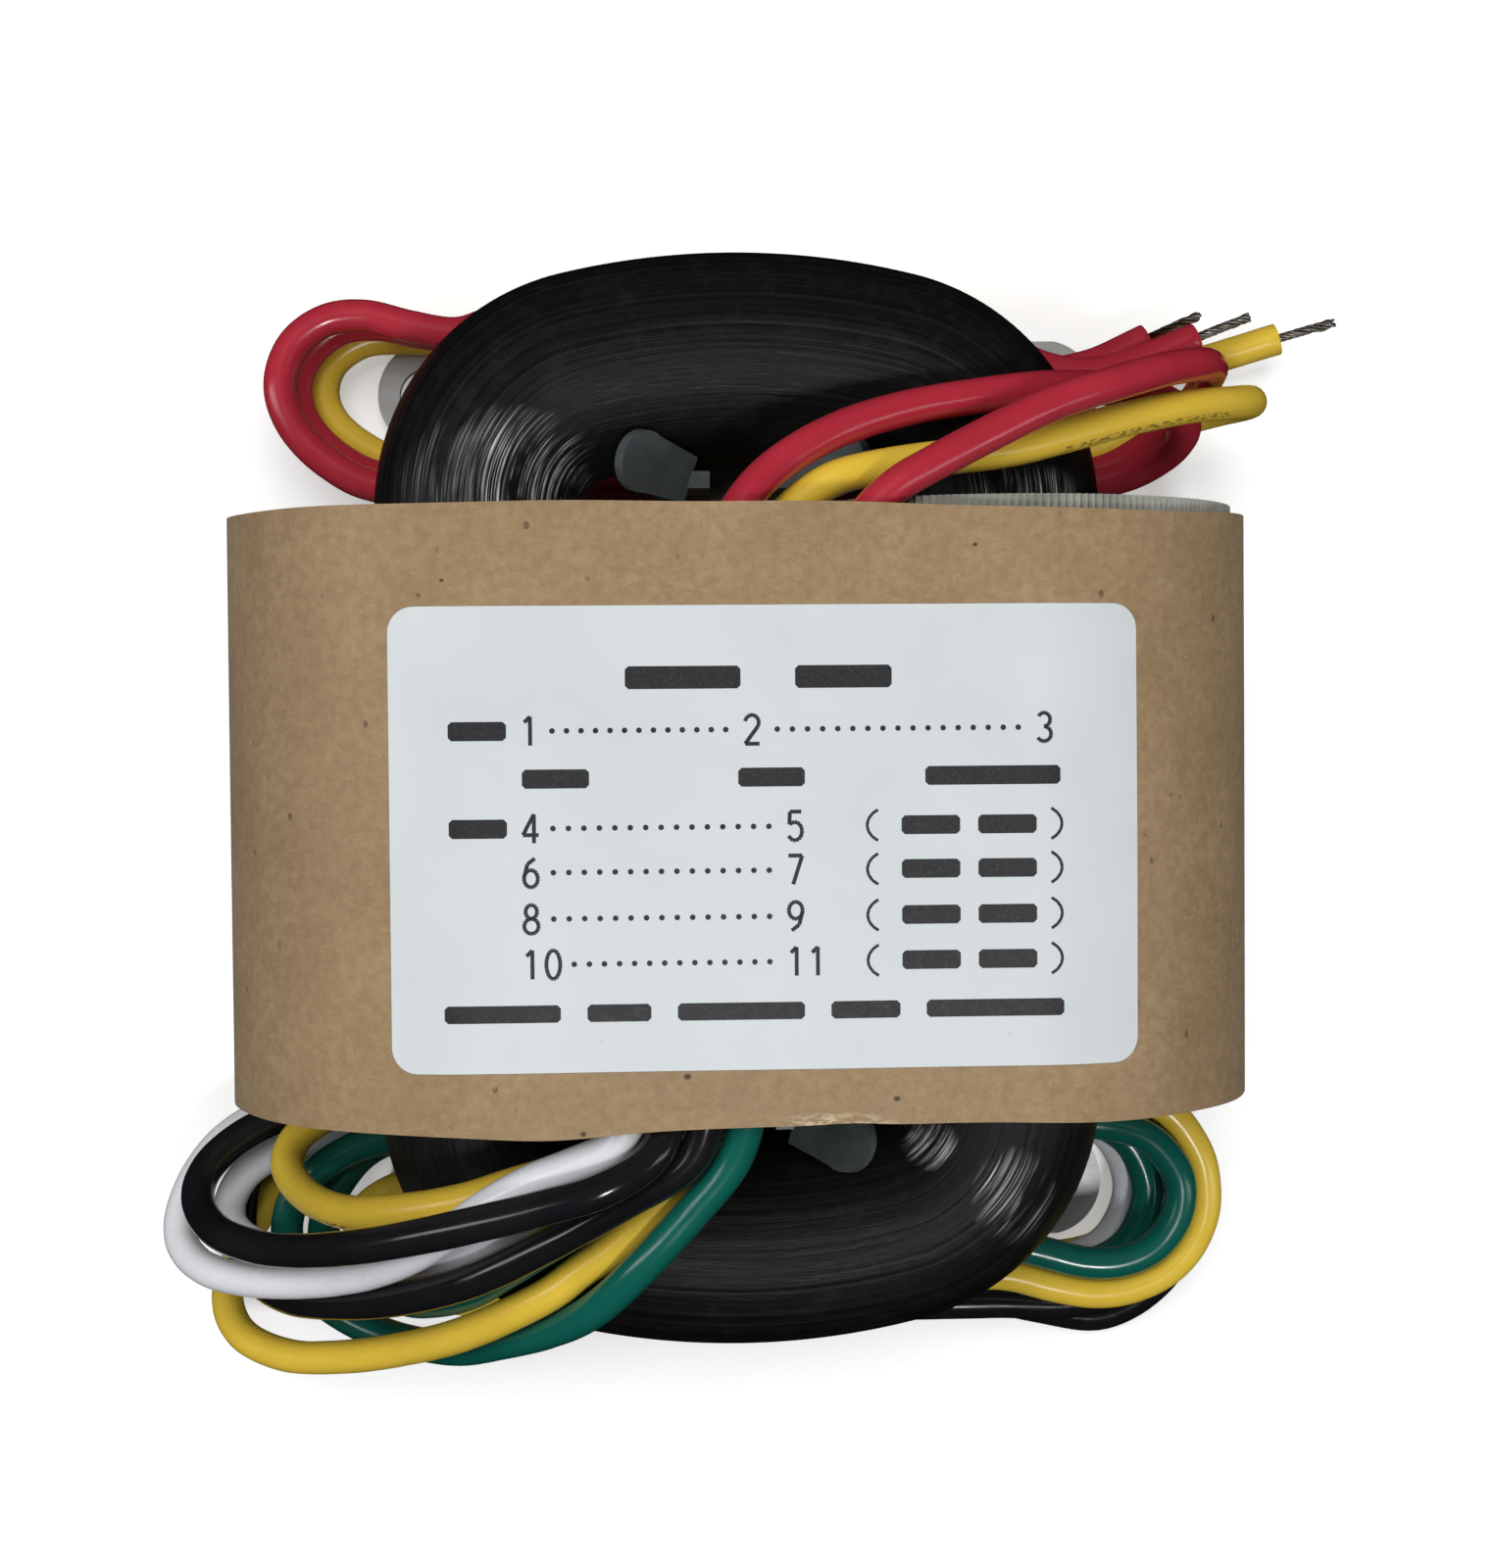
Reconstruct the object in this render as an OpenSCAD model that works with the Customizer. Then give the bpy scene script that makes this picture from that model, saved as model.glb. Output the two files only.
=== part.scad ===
// Small R-core mains transformer: a round-section wound strip core carries
// two coils on split bobbins, wrapped together in one paper band, and stands
// on two slotted steel feet. X runs across the coils, Y along the core,
// Z up from the mounting plane.

/* [Core] */
// Diameter of the round core section
core_d = 15; // [14.6:0.1:15.2]
// Height of the core centreline above the mounting plane
axis_z = 19; // [18.9:0.05:19.2]
// Half the spacing between the two core legs
leg_x = 18.7; // [18.6:0.05:18.8]
// Height at which a leg runs into its corner bend
shoulder_y = 21; // [20.8:0.1:21.1]
// Centreline radius of the corner bends
shoulder_r = 10; // [9.8:0.1:10.2]
// Centreline radius of the end crowns
crown_r = 47; // [46:0.5:48]

/* [Coils] */
// Bore radius of the bobbins
bobbin_bore_r = 8.4; // [8.2:0.05:8.5]
// Flange radius of the bobbins
flange_r = 16.9; // [16.8:0.05:16.9]
// Flange thickness
flange_t = 1.2; // [1:0.1:1.4]
// Half length of a bobbin
bobbin_h = 20.7; // [20.5:0.1:20.8]
// Number of fine teeth around a flange rim
flange_teeth = 200; // [120:10:220]
// Shift of the right bobbin along the leg
right_shift = 0.15; // [0:0.05:0.2]
// Shift of the left bobbin along the leg
left_shift = -0.4; // [-0.45:0.05:0]

/* [Paper and label] */
// Thickness of the rolled paper band
band_t = 1; // [0.8:0.1:1]
// Lower edge of the paper band
band_y0 = -21.1; // [-21.3:0.1:-20.9]
// Upper edge of the paper band
band_y1 = 20.3; // [20.1:0.1:20.6]
// Label width across the front
label_w = 49.7; // [46:0.1:50]
// Label height
label_h = 30.7; // [28:0.1:31]
// Label thickness
label_t = 0.12; // [0.1:0.01:0.2]

/* [Feet] */
// Thickness of the bracket steel
steel_t = 1.2; // [1:0.1:1.2]
// Width of the bracket strip
strip_w = 8.6; // [8.2:0.1:8.6]
// Distance of the strip centre from the middle
strip_y = 31.4; // [31.3:0.05:31.45]
// Slot spacing across the feet
slot_span = 47.6; // [47.2:0.1:48]
// Sideways shift of the feet on the core
foot_shift = 1.3; // [1.1:0.1:1.4]
// Slot width
slot_w = 4.2; // [4:0.1:4.3]
// Slot length end to end
slot_l = 6; // [5.5:0.1:6.2]

/* [Leads] */
// Outside diameter of a lead
lead_d = 2.5; // [2.2:0.05:2.5]
// Diameter of the bare twisted end
tip_d = 0.9; // [0.7:0.05:1]
// Length of the bare twisted end
tip_l = 5; // [3:0.5:5]

/* [Hidden] */
$fn = 64;

// Angle at which a shoulder bend runs into a crown
join_a = acos((leg_x - shoulder_r) / (crown_r - shoulder_r));
crown_cy = shoulder_y - (crown_r - shoulder_r) * sin(join_a);
band_in = flange_r;
band_out = flange_r + band_t;
// Layer radii of a coil, from the bobbin tube outwards
layer_r = [9.4, 11.9, 12.2, 12.4, 12.7, 14.4, 14.6, 16, 16.4];
coil_h = bobbin_h - flange_t;

// ---- core ----
module bend(cx, cy, r, a0, a1)
  translate([cx, cy, axis_z]) rotate([0, 0, a0])
    rotate_extrude(angle = a1 - a0) translate([r, 0]) circle(d = core_d);

// Thin weld of lacquer where a corner bend meets a crown
module seam(a) translate([0, crown_cy, axis_z]) rotate([0, 0, a]) translate([crown_r, 0.2, 0])
  rotate([90, 0, 0]) cylinder(h = 0.4, d = core_d + 0.04);

module core_end() {
  bend(leg_x - shoulder_r, shoulder_y, shoulder_r, 0, join_a);
  mirror([1, 0, 0]) bend(leg_x - shoulder_r, shoulder_y, shoulder_r, 0, join_a);
  bend(0, crown_cy, crown_r, join_a, 180 - join_a);
  seam(join_a);
  seam(180 - join_a);
}

module core() color([0.08, 0.08, 0.085]) {
  for (s = [-1, 1]) translate([s * leg_x, -shoulder_y, axis_z])
    rotate([-90, 0, 0]) cylinder(h = 2 * shoulder_y, d = core_d);
  core_end();
  mirror([0, 1, 0]) core_end();
}

// ---- bobbins ----
// Half outline of a flange with a triangular tooth at every step
function half_rim(r, n) = [for (i = [0 : n]) let (a = 180 * i / n, q = (i % 2 == 0) ? r : r - 0.3) [q * cos(a), q * sin(a)]];

// Half bobbin on the +Y side of its own bore axis, which runs along Z
module half_bobbin() difference() {
  union() {
    for (z = [-bobbin_h, bobbin_h - flange_t]) translate([0, 0, z])
      linear_extrude(flange_t) polygon(half_rim(flange_r, flange_teeth));
    translate([0, 0, -coil_h]) rotate_extrude(angle = 180)
      translate([bobbin_bore_r - 1, 0]) square([layer_r[0] - bobbin_bore_r + 1, 2 * coil_h]);
  }
  translate([0, 0, -bobbin_h - 1]) cylinder(h = 2 * bobbin_h + 2, r = bobbin_bore_r);
}

// front = 1 puts the half above the split plane, -1 below it
module bobbin(s, shift, front)
  color([0.8, 0.8, 0.76]) translate([s * leg_x, shift, axis_z])
    rotate([front * 90, 0, 0]) half_bobbin();

module right_bobbin_front() bobbin(1, right_shift, 1);
module right_bobbin_back() bobbin(1, right_shift, -1);
module left_bobbin_front() bobbin(-1, left_shift, 1);
module left_bobbin_back() bobbin(-1, left_shift, -1);

// ---- windings and insulation ----
module layer(s, shift, i) translate([s * leg_x, shift - coil_h, axis_z]) rotate([-90, 0, 0])
  difference() {
    cylinder(h = 2 * coil_h, r = layer_r[i + 1]);
    translate([0, 0, -1]) cylinder(h = 2 * coil_h + 2, r = layer_r[i]);
  }

// The screen is one open turn of foil, so that it is no shorted turn
module foil(s, shift) translate([s * leg_x, shift - coil_h, axis_z]) rotate([-90, 0, 0])
  rotate([0, 0, 5]) rotate_extrude(angle = 350) translate([layer_r[2], 0])
    square([layer_r[3] - layer_r[2], 2 * coil_h]);

module right_primary_winding() color([0.6, 0.3, 0.12]) layer(1, right_shift, 0);
module left_primary_winding() color([0.6, 0.3, 0.12]) layer(-1, left_shift, 0);
module right_primary_insulation() color([0.85, 0.75, 0.35]) layer(1, right_shift, 1);
module left_primary_insulation() color([0.85, 0.75, 0.35]) layer(-1, left_shift, 1);
module right_screen_foil() color([0.8, 0.5, 0.3]) foil(1, right_shift);
module left_screen_foil() color([0.8, 0.5, 0.3]) foil(-1, left_shift);
module right_screen_insulation() color([0.85, 0.75, 0.35]) layer(1, right_shift, 3);
module left_screen_insulation() color([0.85, 0.75, 0.35]) layer(-1, left_shift, 3);
module right_inner_secondary() color([0.66, 0.34, 0.14]) layer(1, right_shift, 4);
module left_inner_secondary() color([0.66, 0.34, 0.14]) layer(-1, left_shift, 4);
module right_layer_insulation() color([0.85, 0.75, 0.35]) layer(1, right_shift, 5);
module left_layer_insulation() color([0.85, 0.75, 0.35]) layer(-1, left_shift, 5);
module right_outer_secondary() color([0.7, 0.37, 0.16]) layer(1, right_shift, 6);
module left_outer_secondary() color([0.7, 0.37, 0.16]) layer(-1, left_shift, 6);
module right_outer_tape() color([0.9, 0.85, 0.6]) layer(1, right_shift, 7);
module left_outer_tape() color([0.9, 0.85, 0.6]) layer(-1, left_shift, 7);

// ---- taped splices in the valley between the coils ----
pad_top = axis_z + band_in - 0.05;
module pad(y0) difference() {
  translate([-10.2, y0, 27.5]) cube([20.4, 10, pad_top - 27.5]);
  for (s = [-1, 1]) translate([s * leg_x, y0 - 1, axis_z]) rotate([-90, 0, 0])
    cylinder(h = 12, r = layer_r[8] + 0.05);
}
module primary_splice_pad() color([0.9, 0.82, 0.5]) pad(2);
module secondary_splice_pad() color([0.9, 0.82, 0.5]) pad(-12);

// ---- paper band and label ----
// One round end and one flat side, repeated on the other half
module half_band(r0, r1, y0, h) {
  translate([leg_x, y0, axis_z]) rotate([-90, 0, 0]) rotate([0, 0, -90])
    rotate_extrude(angle = 180) translate([r0, 0]) square([r1 - r0, h]);
  translate([-leg_x, y0, axis_z + r0]) cube([2 * leg_x, h, r1 - r0]);
}
module paper_wrap() color([0.62, 0.5, 0.36]) {
  half_band(band_in, band_out, band_y0, band_y1 - band_y0);
  translate([0, 0, 2 * axis_z]) rotate([0, 180, 0])
    half_band(band_in, band_out, band_y0, band_y1 - band_y0);
}

label_x = 0.75;
label_y = -1.85;
label_r = 1.7;
function round_corner(cx, cy, r, a) = [for (i = [0 : 6]) [cx + r * cos(a + 15 * i), cy + r * sin(a + 15 * i)]];
function round_rect(w, h, r) = concat(
  round_corner(w / 2 - r, h / 2 - r, r, 0), round_corner(-w / 2 + r, h / 2 - r, r, 90),
  round_corner(-w / 2 + r, -h / 2 + r, r, 180), round_corner(w / 2 - r, -h / 2 + r, r, 270));
module label() color([0.88, 0.9, 0.91]) intersection() {
  translate([label_x, label_y, axis_z + 8]) linear_extrude(band_out) polygon(round_rect(label_w, label_h, label_r));
  union() {
    half_band(band_out, band_out + label_t, label_y - 20, 40);
    translate([0, 0, 2 * axis_z]) rotate([0, 180, 0])
      half_band(band_out, band_out + label_t, label_y - 20, 40);
  }
}

// ---- feet ----
foot_in = 16.8;
saddle_x = 12;
// The saddle carries the core at the rims of its seams
under_z = axis_z - core_d / 2 - 0.02 - steel_t;
fold = steel_t * tan(32.5);
lug_end = slot_span / 2 + 4.7;
lug_r = strip_w / 2 + 0.1;
// Strip seen along Y: foot, sloping leg, saddle, leg, foot
strip_pts = [[-lug_end, 0], [-foot_in, 0], [-saddle_x, under_z], [saddle_x, under_z], [foot_in, 0], [lug_end, 0],
  [lug_end, steel_t], [foot_in + fold, steel_t], [saddle_x + fold, under_z + steel_t],
  [-saddle_x - fold, under_z + steel_t], [-foot_in - fold, steel_t], [-lug_end, steel_t]];
// Leaf-shaped tab, root at the origin, pointing along X
function leaf(l, w, r) = concat([[0, -w]], [for (i = [-8 : 8]) [l - r + r * cos(i * 14), r * sin(i * 14)]], [[0, w]]);

module slot_cut(x) translate([x, 0, -1]) {
  for (s = [-1, 1]) translate([s * (slot_l - slot_w) / 2, 0, 0]) cylinder(h = steel_t + 2, d = slot_w);
  translate([-(slot_l - slot_w) / 2, -slot_w / 2, 0]) cube([slot_l - slot_w, slot_w, steel_t + 2]);
}

tongue_y = strip_y - 9;
module bracket() {
  difference() {
    translate([foot_shift, strip_y + strip_w / 2, 0]) rotate([90, 0, 0]) linear_extrude(strip_w) polygon(strip_pts);
    for (s = [-1, 1]) {
      translate([foot_shift, strip_y, 0]) slot_cut(s * slot_span / 2);
      // rounded outer end of the lug
      difference() {
        translate([foot_shift + (s > 0 ? lug_end - lug_r : -lug_end - 1), strip_y - 6, -1]) cube([lug_r + 1, 12, steel_t + 2]);
        translate([foot_shift + s * (lug_end - lug_r), strip_y, -2]) cylinder(h = steel_t + 4, r = lug_r);
      }
    }
  }
  // tongue under the core, towards the window
  translate([-6, tongue_y, under_z]) cube([12, strip_y - strip_w / 2 - tongue_y, steel_t]);
  // two prongs up through the window, bent over the core at their ends
  for (s = [-1, 1]) {
    translate([s > 0 ? 2.2 : -5, tongue_y, under_z]) cube([2.8, steel_t, 22 - under_z]);
    translate([s * 3.8, tongue_y + 0.65, 21.6]) rotate([0, 0, s > 0 ? 17 : 163]) rotate([0, -44, 0])
      translate([0, 0, -0.4]) linear_extrude(0.8) polygon(leaf(7, 1.7, 2.2));
  }
}
module upper_bracket() color([0.72, 0.73, 0.74]) bracket();
module lower_bracket() color([0.72, 0.73, 0.74]) mirror([0, 1, 0]) bracket();

// ---- leads ----
// Smooth curve through the route's points
function pick(p, i) = i < 0 ? 2 * p[0] - p[1] : i >= len(p) ? 2 * p[len(p) - 1] - p[len(p) - 2] : p[i];
function cr(a, b, c, d, t) = 0.5 * (2 * b + (c - a) * t + (2 * a - 5 * b + 4 * c - d) * t * t + (3 * b - a - 3 * c + d) * t * t * t);
function dense(p, n) = concat([for (i = [0 : len(p) - 2], k = [0 : n - 1])
  cr(pick(p, i - 1), p[i], p[i + 1], pick(p, i + 2), k / n)], [p[len(p) - 1]]);
function unit(v) = v / norm(v);
function dirs(q) = [for (i = [0 : len(q) - 1]) unit(pick(q, i + 1) - pick(q, i - 1))];
function flat_to(v, t) = unit(v - (v * t) * t);
// Ring normals carried along the curve without twist
function carry(t, i, acc) = i >= len(t) ? acc : carry(t, i + 1, concat(acc, [flat_to(acc[i - 1], t[i])]));
module tube(route) {
  q = dense(route, 2);
  t = dirs(q);
  n = carry(t, 1, [flat_to([1, 0.01, 0], t[0])]);
  m = len(q);
  pts = [for (i = [0 : m - 1], k = [0 : 7]) let (b = cross(t[i], n[i])) q[i] + lead_d / 2 * (cos(45 * k) * n[i] + sin(45 * k) * b)];
  faces = concat([[7, 6, 5, 4, 3, 2, 1, 0]], [[for (k = [0 : 7]) (m - 1) * 8 + k]],
    [for (i = [0 : m - 2], k = [0 : 7]) [i * 8 + k, i * 8 + (k + 1) % 8, i * 8 + 8 + (k + 1) % 8]],
    [for (i = [0 : m - 2], k = [0 : 7]) [i * 8 + k, i * 8 + 8 + (k + 1) % 8, i * 8 + 8 + k]]);
  polyhedron(pts, [for (f = faces) [for (j = [len(f) - 1 : -1 : 0]) f[j]]]);
}
module tip(route) {
  e = route[len(route) - 1];
  d = unit(e - route[len(route) - 2]);
  translate(e) rotate([0, acos(d[2]), atan2(d[1], d[0])]) cylinder(h = tip_l, d = tip_d);
}

// Straight run under the core, between x0 and x1
function run(y, z, xs) = [for (x = xs) [x, y, z]];
// Half turn at the right-hand foot, from the inner run back to the outer one
function turn(cx, r, z) = [for (a = [90, 45, 0, -45, -90]) [cx + r * cos(a), -31.5 + r * sin(a), z]];
in_x = [-22, -8, 6, 20];
out_x = [20, 8, -4];
// Rows of the lower bundle, one lead above the other
row = [1.3, 3.85, 6.4, 8.95];
in_a = -23;
in_b = -25.6;
out_a = -40;
out_b = -37.4;

red_1 = concat([[-2.5, 12, 34.6], [-2.2, 17, 34.6], [-0.5, 20.6, 34.3], [2.2, 23.3, 32.9], [6.2, 25.6, 31.1], [11, 27.2, 29.6],
  [16.3, 28.2, 28.4], [21, 28.9, 26.8], [26, 29.3, 23.4], [30.3, 29.3, 19.2], [33.2, 28.4, 15.4], [34.2, 27.2, 12.2],
  [33, 25.6, 9.8], [30, 24.2, 8.2]], run(23.2, 7.6, [24, 10, -4, -20]),
  [[-26.9, 23.8, 7.6], [-30.4, 25.5, 7.6], [-33, 28.1, 7.6], [-34.1, 31.2, 7.6], [-33.2, 34.3, 7.6], [-30.7, 36.3, 7.6], [-27.6, 36.7, 7.6],
  [-24.2, 35.9, 7.6], [-20.6, 35.4, 7.6], [-16.8, 36.6, 7.6]], run(37.4, 7.6, [-11, 0, 10]),
  [[14.6, 37.4, 7.6], [18, 36.6, 7.6], [21, 34.6, 7.7], [24, 32.9, 7.8], [27.6, 32.3, 7.9], [31.4, 33.1, 7.9], [36.2, 35, 7.9]]);
red_2 = concat([[5.2, 12, 34.6], [5.4, 16.4, 34.6], [7.5, 19.4, 34.6], [9.7, 21.5, 34.6], [12.6, 23.2, 33.8], [16.6, 25.3, 32.4], [21, 27.4, 30.8],
  [25.6, 29, 28.6], [30, 30.4, 25.4], [33.2, 31.2, 21.8], [35, 31.5, 17.8], [35.7, 31.2, 13.8], [35.2, 29.5, 10],
  [32.8, 26.9, 6.6], [28.4, 24.8, 5.2]], run(24.2, 5.05, [20, 8, -6, -20]),
  [[-26.3, 24.6, 5.05], [-29.8, 26.1, 5.05], [-32.2, 28.5, 5.05], [-33.1, 31.3, 5.05], [-32.2, 34, 5.05], [-29.8, 36, 5.05], [-26.8, 36.4, 5.05],
  [-23.6, 35.8, 5.05], [-20.2, 35.6, 5.05], [-16.4, 36.8, 5.05]], run(37.6, 5.05, [-11, -1, 9]),
  [[14, 37.6, 5.05], [17.8, 37, 5.05], [21, 34.9, 5.1], [24.4, 32.8, 5.2], [28.4, 33.3, 5.2], [32.9, 35.3, 5.2]]);
screen = concat([[0.4, 12, 31.9], [0.6, 16.4, 31.9], [2.6, 19.9, 31.9], [5.6, 22.1, 31.8], [9.4, 23.1, 31], [13.8, 23.8, 29.9], [18, 24.4, 28.8],
  [22.2, 25.5, 27.2], [27, 26.9, 25], [32, 28.1, 22], [36, 28.8, 18.4], [38.8, 29.4, 14.2], [39.2, 29.6, 10],
  [37, 29.3, 6.2], [33, 28.2, 3.6], [28.4, 26.4, 2.7]], run(25.4, 2.5, [20, 8, -6, -20]),
  [[-25.4, 26, 2.5], [-28.3, 27.3, 2.5], [-30.5, 29.2, 2.5], [-31.3, 31.5, 2.5], [-30.5, 33.8, 2.5], [-28.2, 35.4, 2.5], [-25.2, 35.7, 2.5],
  [-22, 35.7, 2.5], [-18.6, 36.6, 2.5]], run(37.8, 2.5, [-12, 0, 10]),
  [[17.6, 37.6, 2.5], [21.8, 35.2, 2.5], [26, 33.2, 2.5], [31, 32.8, 2.7], [36.8, 33.6, 3.2], [43.6, 35.5, 4]]);

yellow_2 = concat([[-5, -12, 31.9], [-5, -17, 31.9], [-5.2, -20.6, 31.9], [-6.3, -22.8, 31.6], [-9, -23.9, 31.1], [-12.4, -24.7, 30.5], [-16, -25.8, 29.4],
  [-20, -27.3, 27.5], [-24.4, -28.4, 24.8], [-28.8, -29.2, 20.6], [-32.2, -28.7, 15.6], [-33.8, -27, 11.8], [-32.6, -24.9, 9.7], [-28.5, -23.2, 8.95]],
  run(in_a, row[3], in_x), [[28, -23, 8.95], [33, -24.4, 8.95], [35.8, -27.8, 8.95], [36.5, -31.4, 8.95], [35.8, -34.4, 8.95],
  [33.9, -36.9, 8.95], [31, -38.4, 8.95], [27.8, -38.8, 8.95], [24.4, -38.2, 8.95], [21, -37.3, 8.95], [17, -37.2, 8.95]], run(-37.4, row[3], [8, -4]),
  [[-13, -38.2, 8.7], [-20, -38.6, 8.1], [-24, -37.9, 7.5], [-26.8, -36.9, 7.3], [-28.5, -35.3, 7.3], [-28.9, -33.3, 7.4], [-28.3, -31.5, 7.6], [-26.8, -30.3, 7.7], [-24.8, -29.5, 7.8]]);
black_1 = concat([[-5.9, -12, 34.6], [-5.9, -17, 34.6], [-5.9, -20.7, 34.5], [-7.2, -23.3, 35.4], [-10.4, -25.2, 35.9], [-14.2, -26.4, 35.2], [-18.4, -27.6, 33.9], [-22.4, -28.8, 31.8],
  [-26.8, -30.1, 28.6], [-31.3, -31.2, 24.4], [-35.2, -31.6, 20.6], [-38.6, -31, 16.8], [-40.3, -29.3, 13], [-39.6, -27.2, 9.8],
  [-36.4, -25, 7.6], [-31, -23.5, 6.5]],
  run(in_a, row[2], in_x), turn(27.3, 8.5, row[2]), run(out_a, row[2], [20, 8, -6]));
white_1 = concat([[-8.6, -12, 34.5], [-8.6, -17, 34.5], [-8.6, -20.6, 34.5], [-9.8, -22.7, 34.1], [-12.4, -24, 33.4], [-15.2, -25.2, 32.6], [-18, -26.9, 31.4], [-20.6, -28.9, 29.8],
  [-23.6, -31.1, 27.4], [-27, -32.9, 24.2], [-31.4, -34.1, 20.8], [-36.2, -34.7, 17.2], [-40, -34.3, 13.8], [-42, -32.6, 10.6],
  [-41.6, -29.5, 7.8], [-39.2, -26.2, 5.6], [-34.8, -23.9, 4.2], [-29, -23.1, 3.85]],
  run(in_a, row[1], in_x), turn(26.6, 8.5, row[1]), run(out_a, row[1], [20, 8, -9]));
black_2 = concat([[-3.3, -12, 34.6], [-3.3, -17, 34.6], [-3.3, -20.8, 34.4], [-4.7, -23.9, 33.8], [-8.6, -26.4, 32.9], [-14.2, -29.7, 31.5],
  [-19.6, -32.7, 28.6], [-24.8, -34.8, 24], [-29.4, -36, 19.6], [-33.4, -36.6, 14.8], [-36.4, -36, 10], [-38, -34, 6.4],
  [-38, -30.4, 3.4], [-36.2, -27, 1.8], [-32.8, -24, 1.3], [-28, -23, 1.3]],
  run(in_a, row[0], in_x), [[27, -23, 1.3], [32.6, -24.8, 1.3], [36.2, -29, 1.3], [37, -34.4, 1.3], [34.8, -39.4, 1.3],
  [30, -42.3, 1.3], [24.4, -41.6, 1.3], [18.4, -40.2, 1.3], [10, -40, 1.3], [-2, -40, 1.3], [-14, -40, 1.3]]);
green_1 = concat([[-0.6, -12, 34.6], [-0.6, -17, 34.6], [-0.6, -20.8, 34], [-1.6, -24, 33.2], [-4, -27.1, 32.5], [-7.7, -31.3, 31.5],
  [-11, -34.8, 28.9], [-14, -36.9, 25.6], [-17.4, -38.6, 21.6], [-21.2, -40.2, 16.8], [-26, -40.4, 12], [-30, -39.2, 9.4], [-33.2, -36.8, 8],
  [-34.4, -33.4, 7.4], [-33.6, -30.2, 7.8], [-31.2, -27.8, 8.4], [-27.5, -26.1, 8.8]],
  run(in_b, row[3], in_x), [[27, -25.5, 9.4], [31.4, -26.4, 10.2], [33.9, -29.2, 10.6], [34, -32.2, 10.6], [32.4, -34.8, 10.5],
  [29.8, -36.1, 10.4], [26.8, -36.2, 10.2], [23.6, -35.4, 10], [20.4, -34.6, 9.8]]);
green_2 = concat([[0.9, -12, 29.2], [0.9, -17, 29.2], [0.3, -20.6, 28.4], [-2.4, -23.8, 26.9], [-5.6, -26.3, 26.9], [-9.4, -27.9, 27.4], [-14.5, -30.7, 27.9],
  [-17.2, -32.5, 26.8], [-20, -34.6, 23.7], [-24, -36.2, 18.5], [-28, -36, 13], [-31, -34.9, 9.2], [-31.6, -32.6, 6.8], [-30.6, -29.8, 5.8], [-27.6, -26.8, 6.2]],
  run(in_b, row[2], in_x), turn(26.6, 5.9, row[2]), run(out_b, row[2], [20, 8, -6]));
white_2 = concat([[-1.8, -12, 29.2], [-1.8, -17, 29.2], [-2.4, -20.6, 29.1], [-4.4, -23.2, 28.6], [-7.6, -24.9, 28.6], [-10.5, -25.9, 28.5], [-14, -27.5, 28.5],
  [-18.6, -30.1, 27.5], [-22.8, -32.2, 23.6], [-26, -33.3, 18.4], [-30.4, -33.9, 14.8], [-35, -33.8, 11.8], [-38.2, -32.5, 9],
  [-38.6, -30.4, 6.6], [-36.6, -28.1, 5], [-31, -26, 4]],
  run(in_b, row[1], in_x), turn(25.6, 5.9, row[1]), run(out_b, row[1], [20, 8, -9]));
yellow_1 = concat([[0.4, -12, 31.9], [0.4, -17, 31.9], [-0.2, -20.8, 31.3], [-2.7, -24, 30.6], [-6, -26.8, 30], [-9.3, -30.2, 29.1],
  [-12, -32.3, 28.1], [-14.8, -34.4, 27.1], [-20.3, -37.7, 22.8], [-25.4, -40, 17.6], [-30, -41.4, 13.6], [-34.2, -42, 10.2], [-37.8, -41.2, 7],
  [-39.4, -39.2, 4.2], [-39, -36.6, 2.2], [-37.2, -32.8, 1.4], [-34.4, -29, 1.3], [-30.2, -26.1, 1.3]],
  run(in_b, row[0], in_x), turn(27.2, 5.9, row[0]), run(-37.4, row[0], [20, 8, -12]));

module red_lead_1() color([0.66, 0.13, 0.2]) tube(red_1);
module red_lead_2() color([0.66, 0.13, 0.2]) tube(red_2);
module screen_lead() color([0.85, 0.7, 0.15]) tube(screen);
module primary_lead_tips() color([0.6, 0.58, 0.55]) { tip(red_1); tip(red_2); tip(screen); }
module yellow_lead_1() color([0.85, 0.7, 0.15]) tube(yellow_1);
module yellow_lead_2() color([0.85, 0.7, 0.15]) tube(yellow_2);
module green_lead_1() color([0.02, 0.36, 0.3]) tube(green_1);
module green_lead_2() color([0.02, 0.36, 0.3]) tube(green_2);
module white_lead_1() color([0.88, 0.88, 0.9]) tube(white_1);
module white_lead_2() color([0.88, 0.88, 0.9]) tube(white_2);
module black_lead_1() color([0.06, 0.06, 0.07]) tube(black_1);
module black_lead_2() color([0.06, 0.06, 0.07]) tube(black_2);
module secondary_lead_tips() color([0.6, 0.58, 0.55])
  for (r = [yellow_1, yellow_2, green_1, green_2, white_1, white_2, black_1, black_2]) tip(r);

core();
right_bobbin_front();
right_bobbin_back();
left_bobbin_front();
left_bobbin_back();
right_primary_winding();
left_primary_winding();
right_primary_insulation();
left_primary_insulation();
right_screen_foil();
left_screen_foil();
right_screen_insulation();
left_screen_insulation();
right_inner_secondary();
left_inner_secondary();
right_layer_insulation();
left_layer_insulation();
right_outer_secondary();
left_outer_secondary();
right_outer_tape();
left_outer_tape();
primary_splice_pad();
secondary_splice_pad();
paper_wrap();
label();
upper_bracket();
lower_bracket();
red_lead_1();
red_lead_2();
screen_lead();
primary_lead_tips();
yellow_lead_1();
yellow_lead_2();
green_lead_1();
green_lead_2();
white_lead_1();
white_lead_2();
black_lead_1();
black_lead_2();
secondary_lead_tips();
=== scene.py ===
import math
import random

import bpy
import numpy as np
from mathutils import Matrix, Vector


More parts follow.
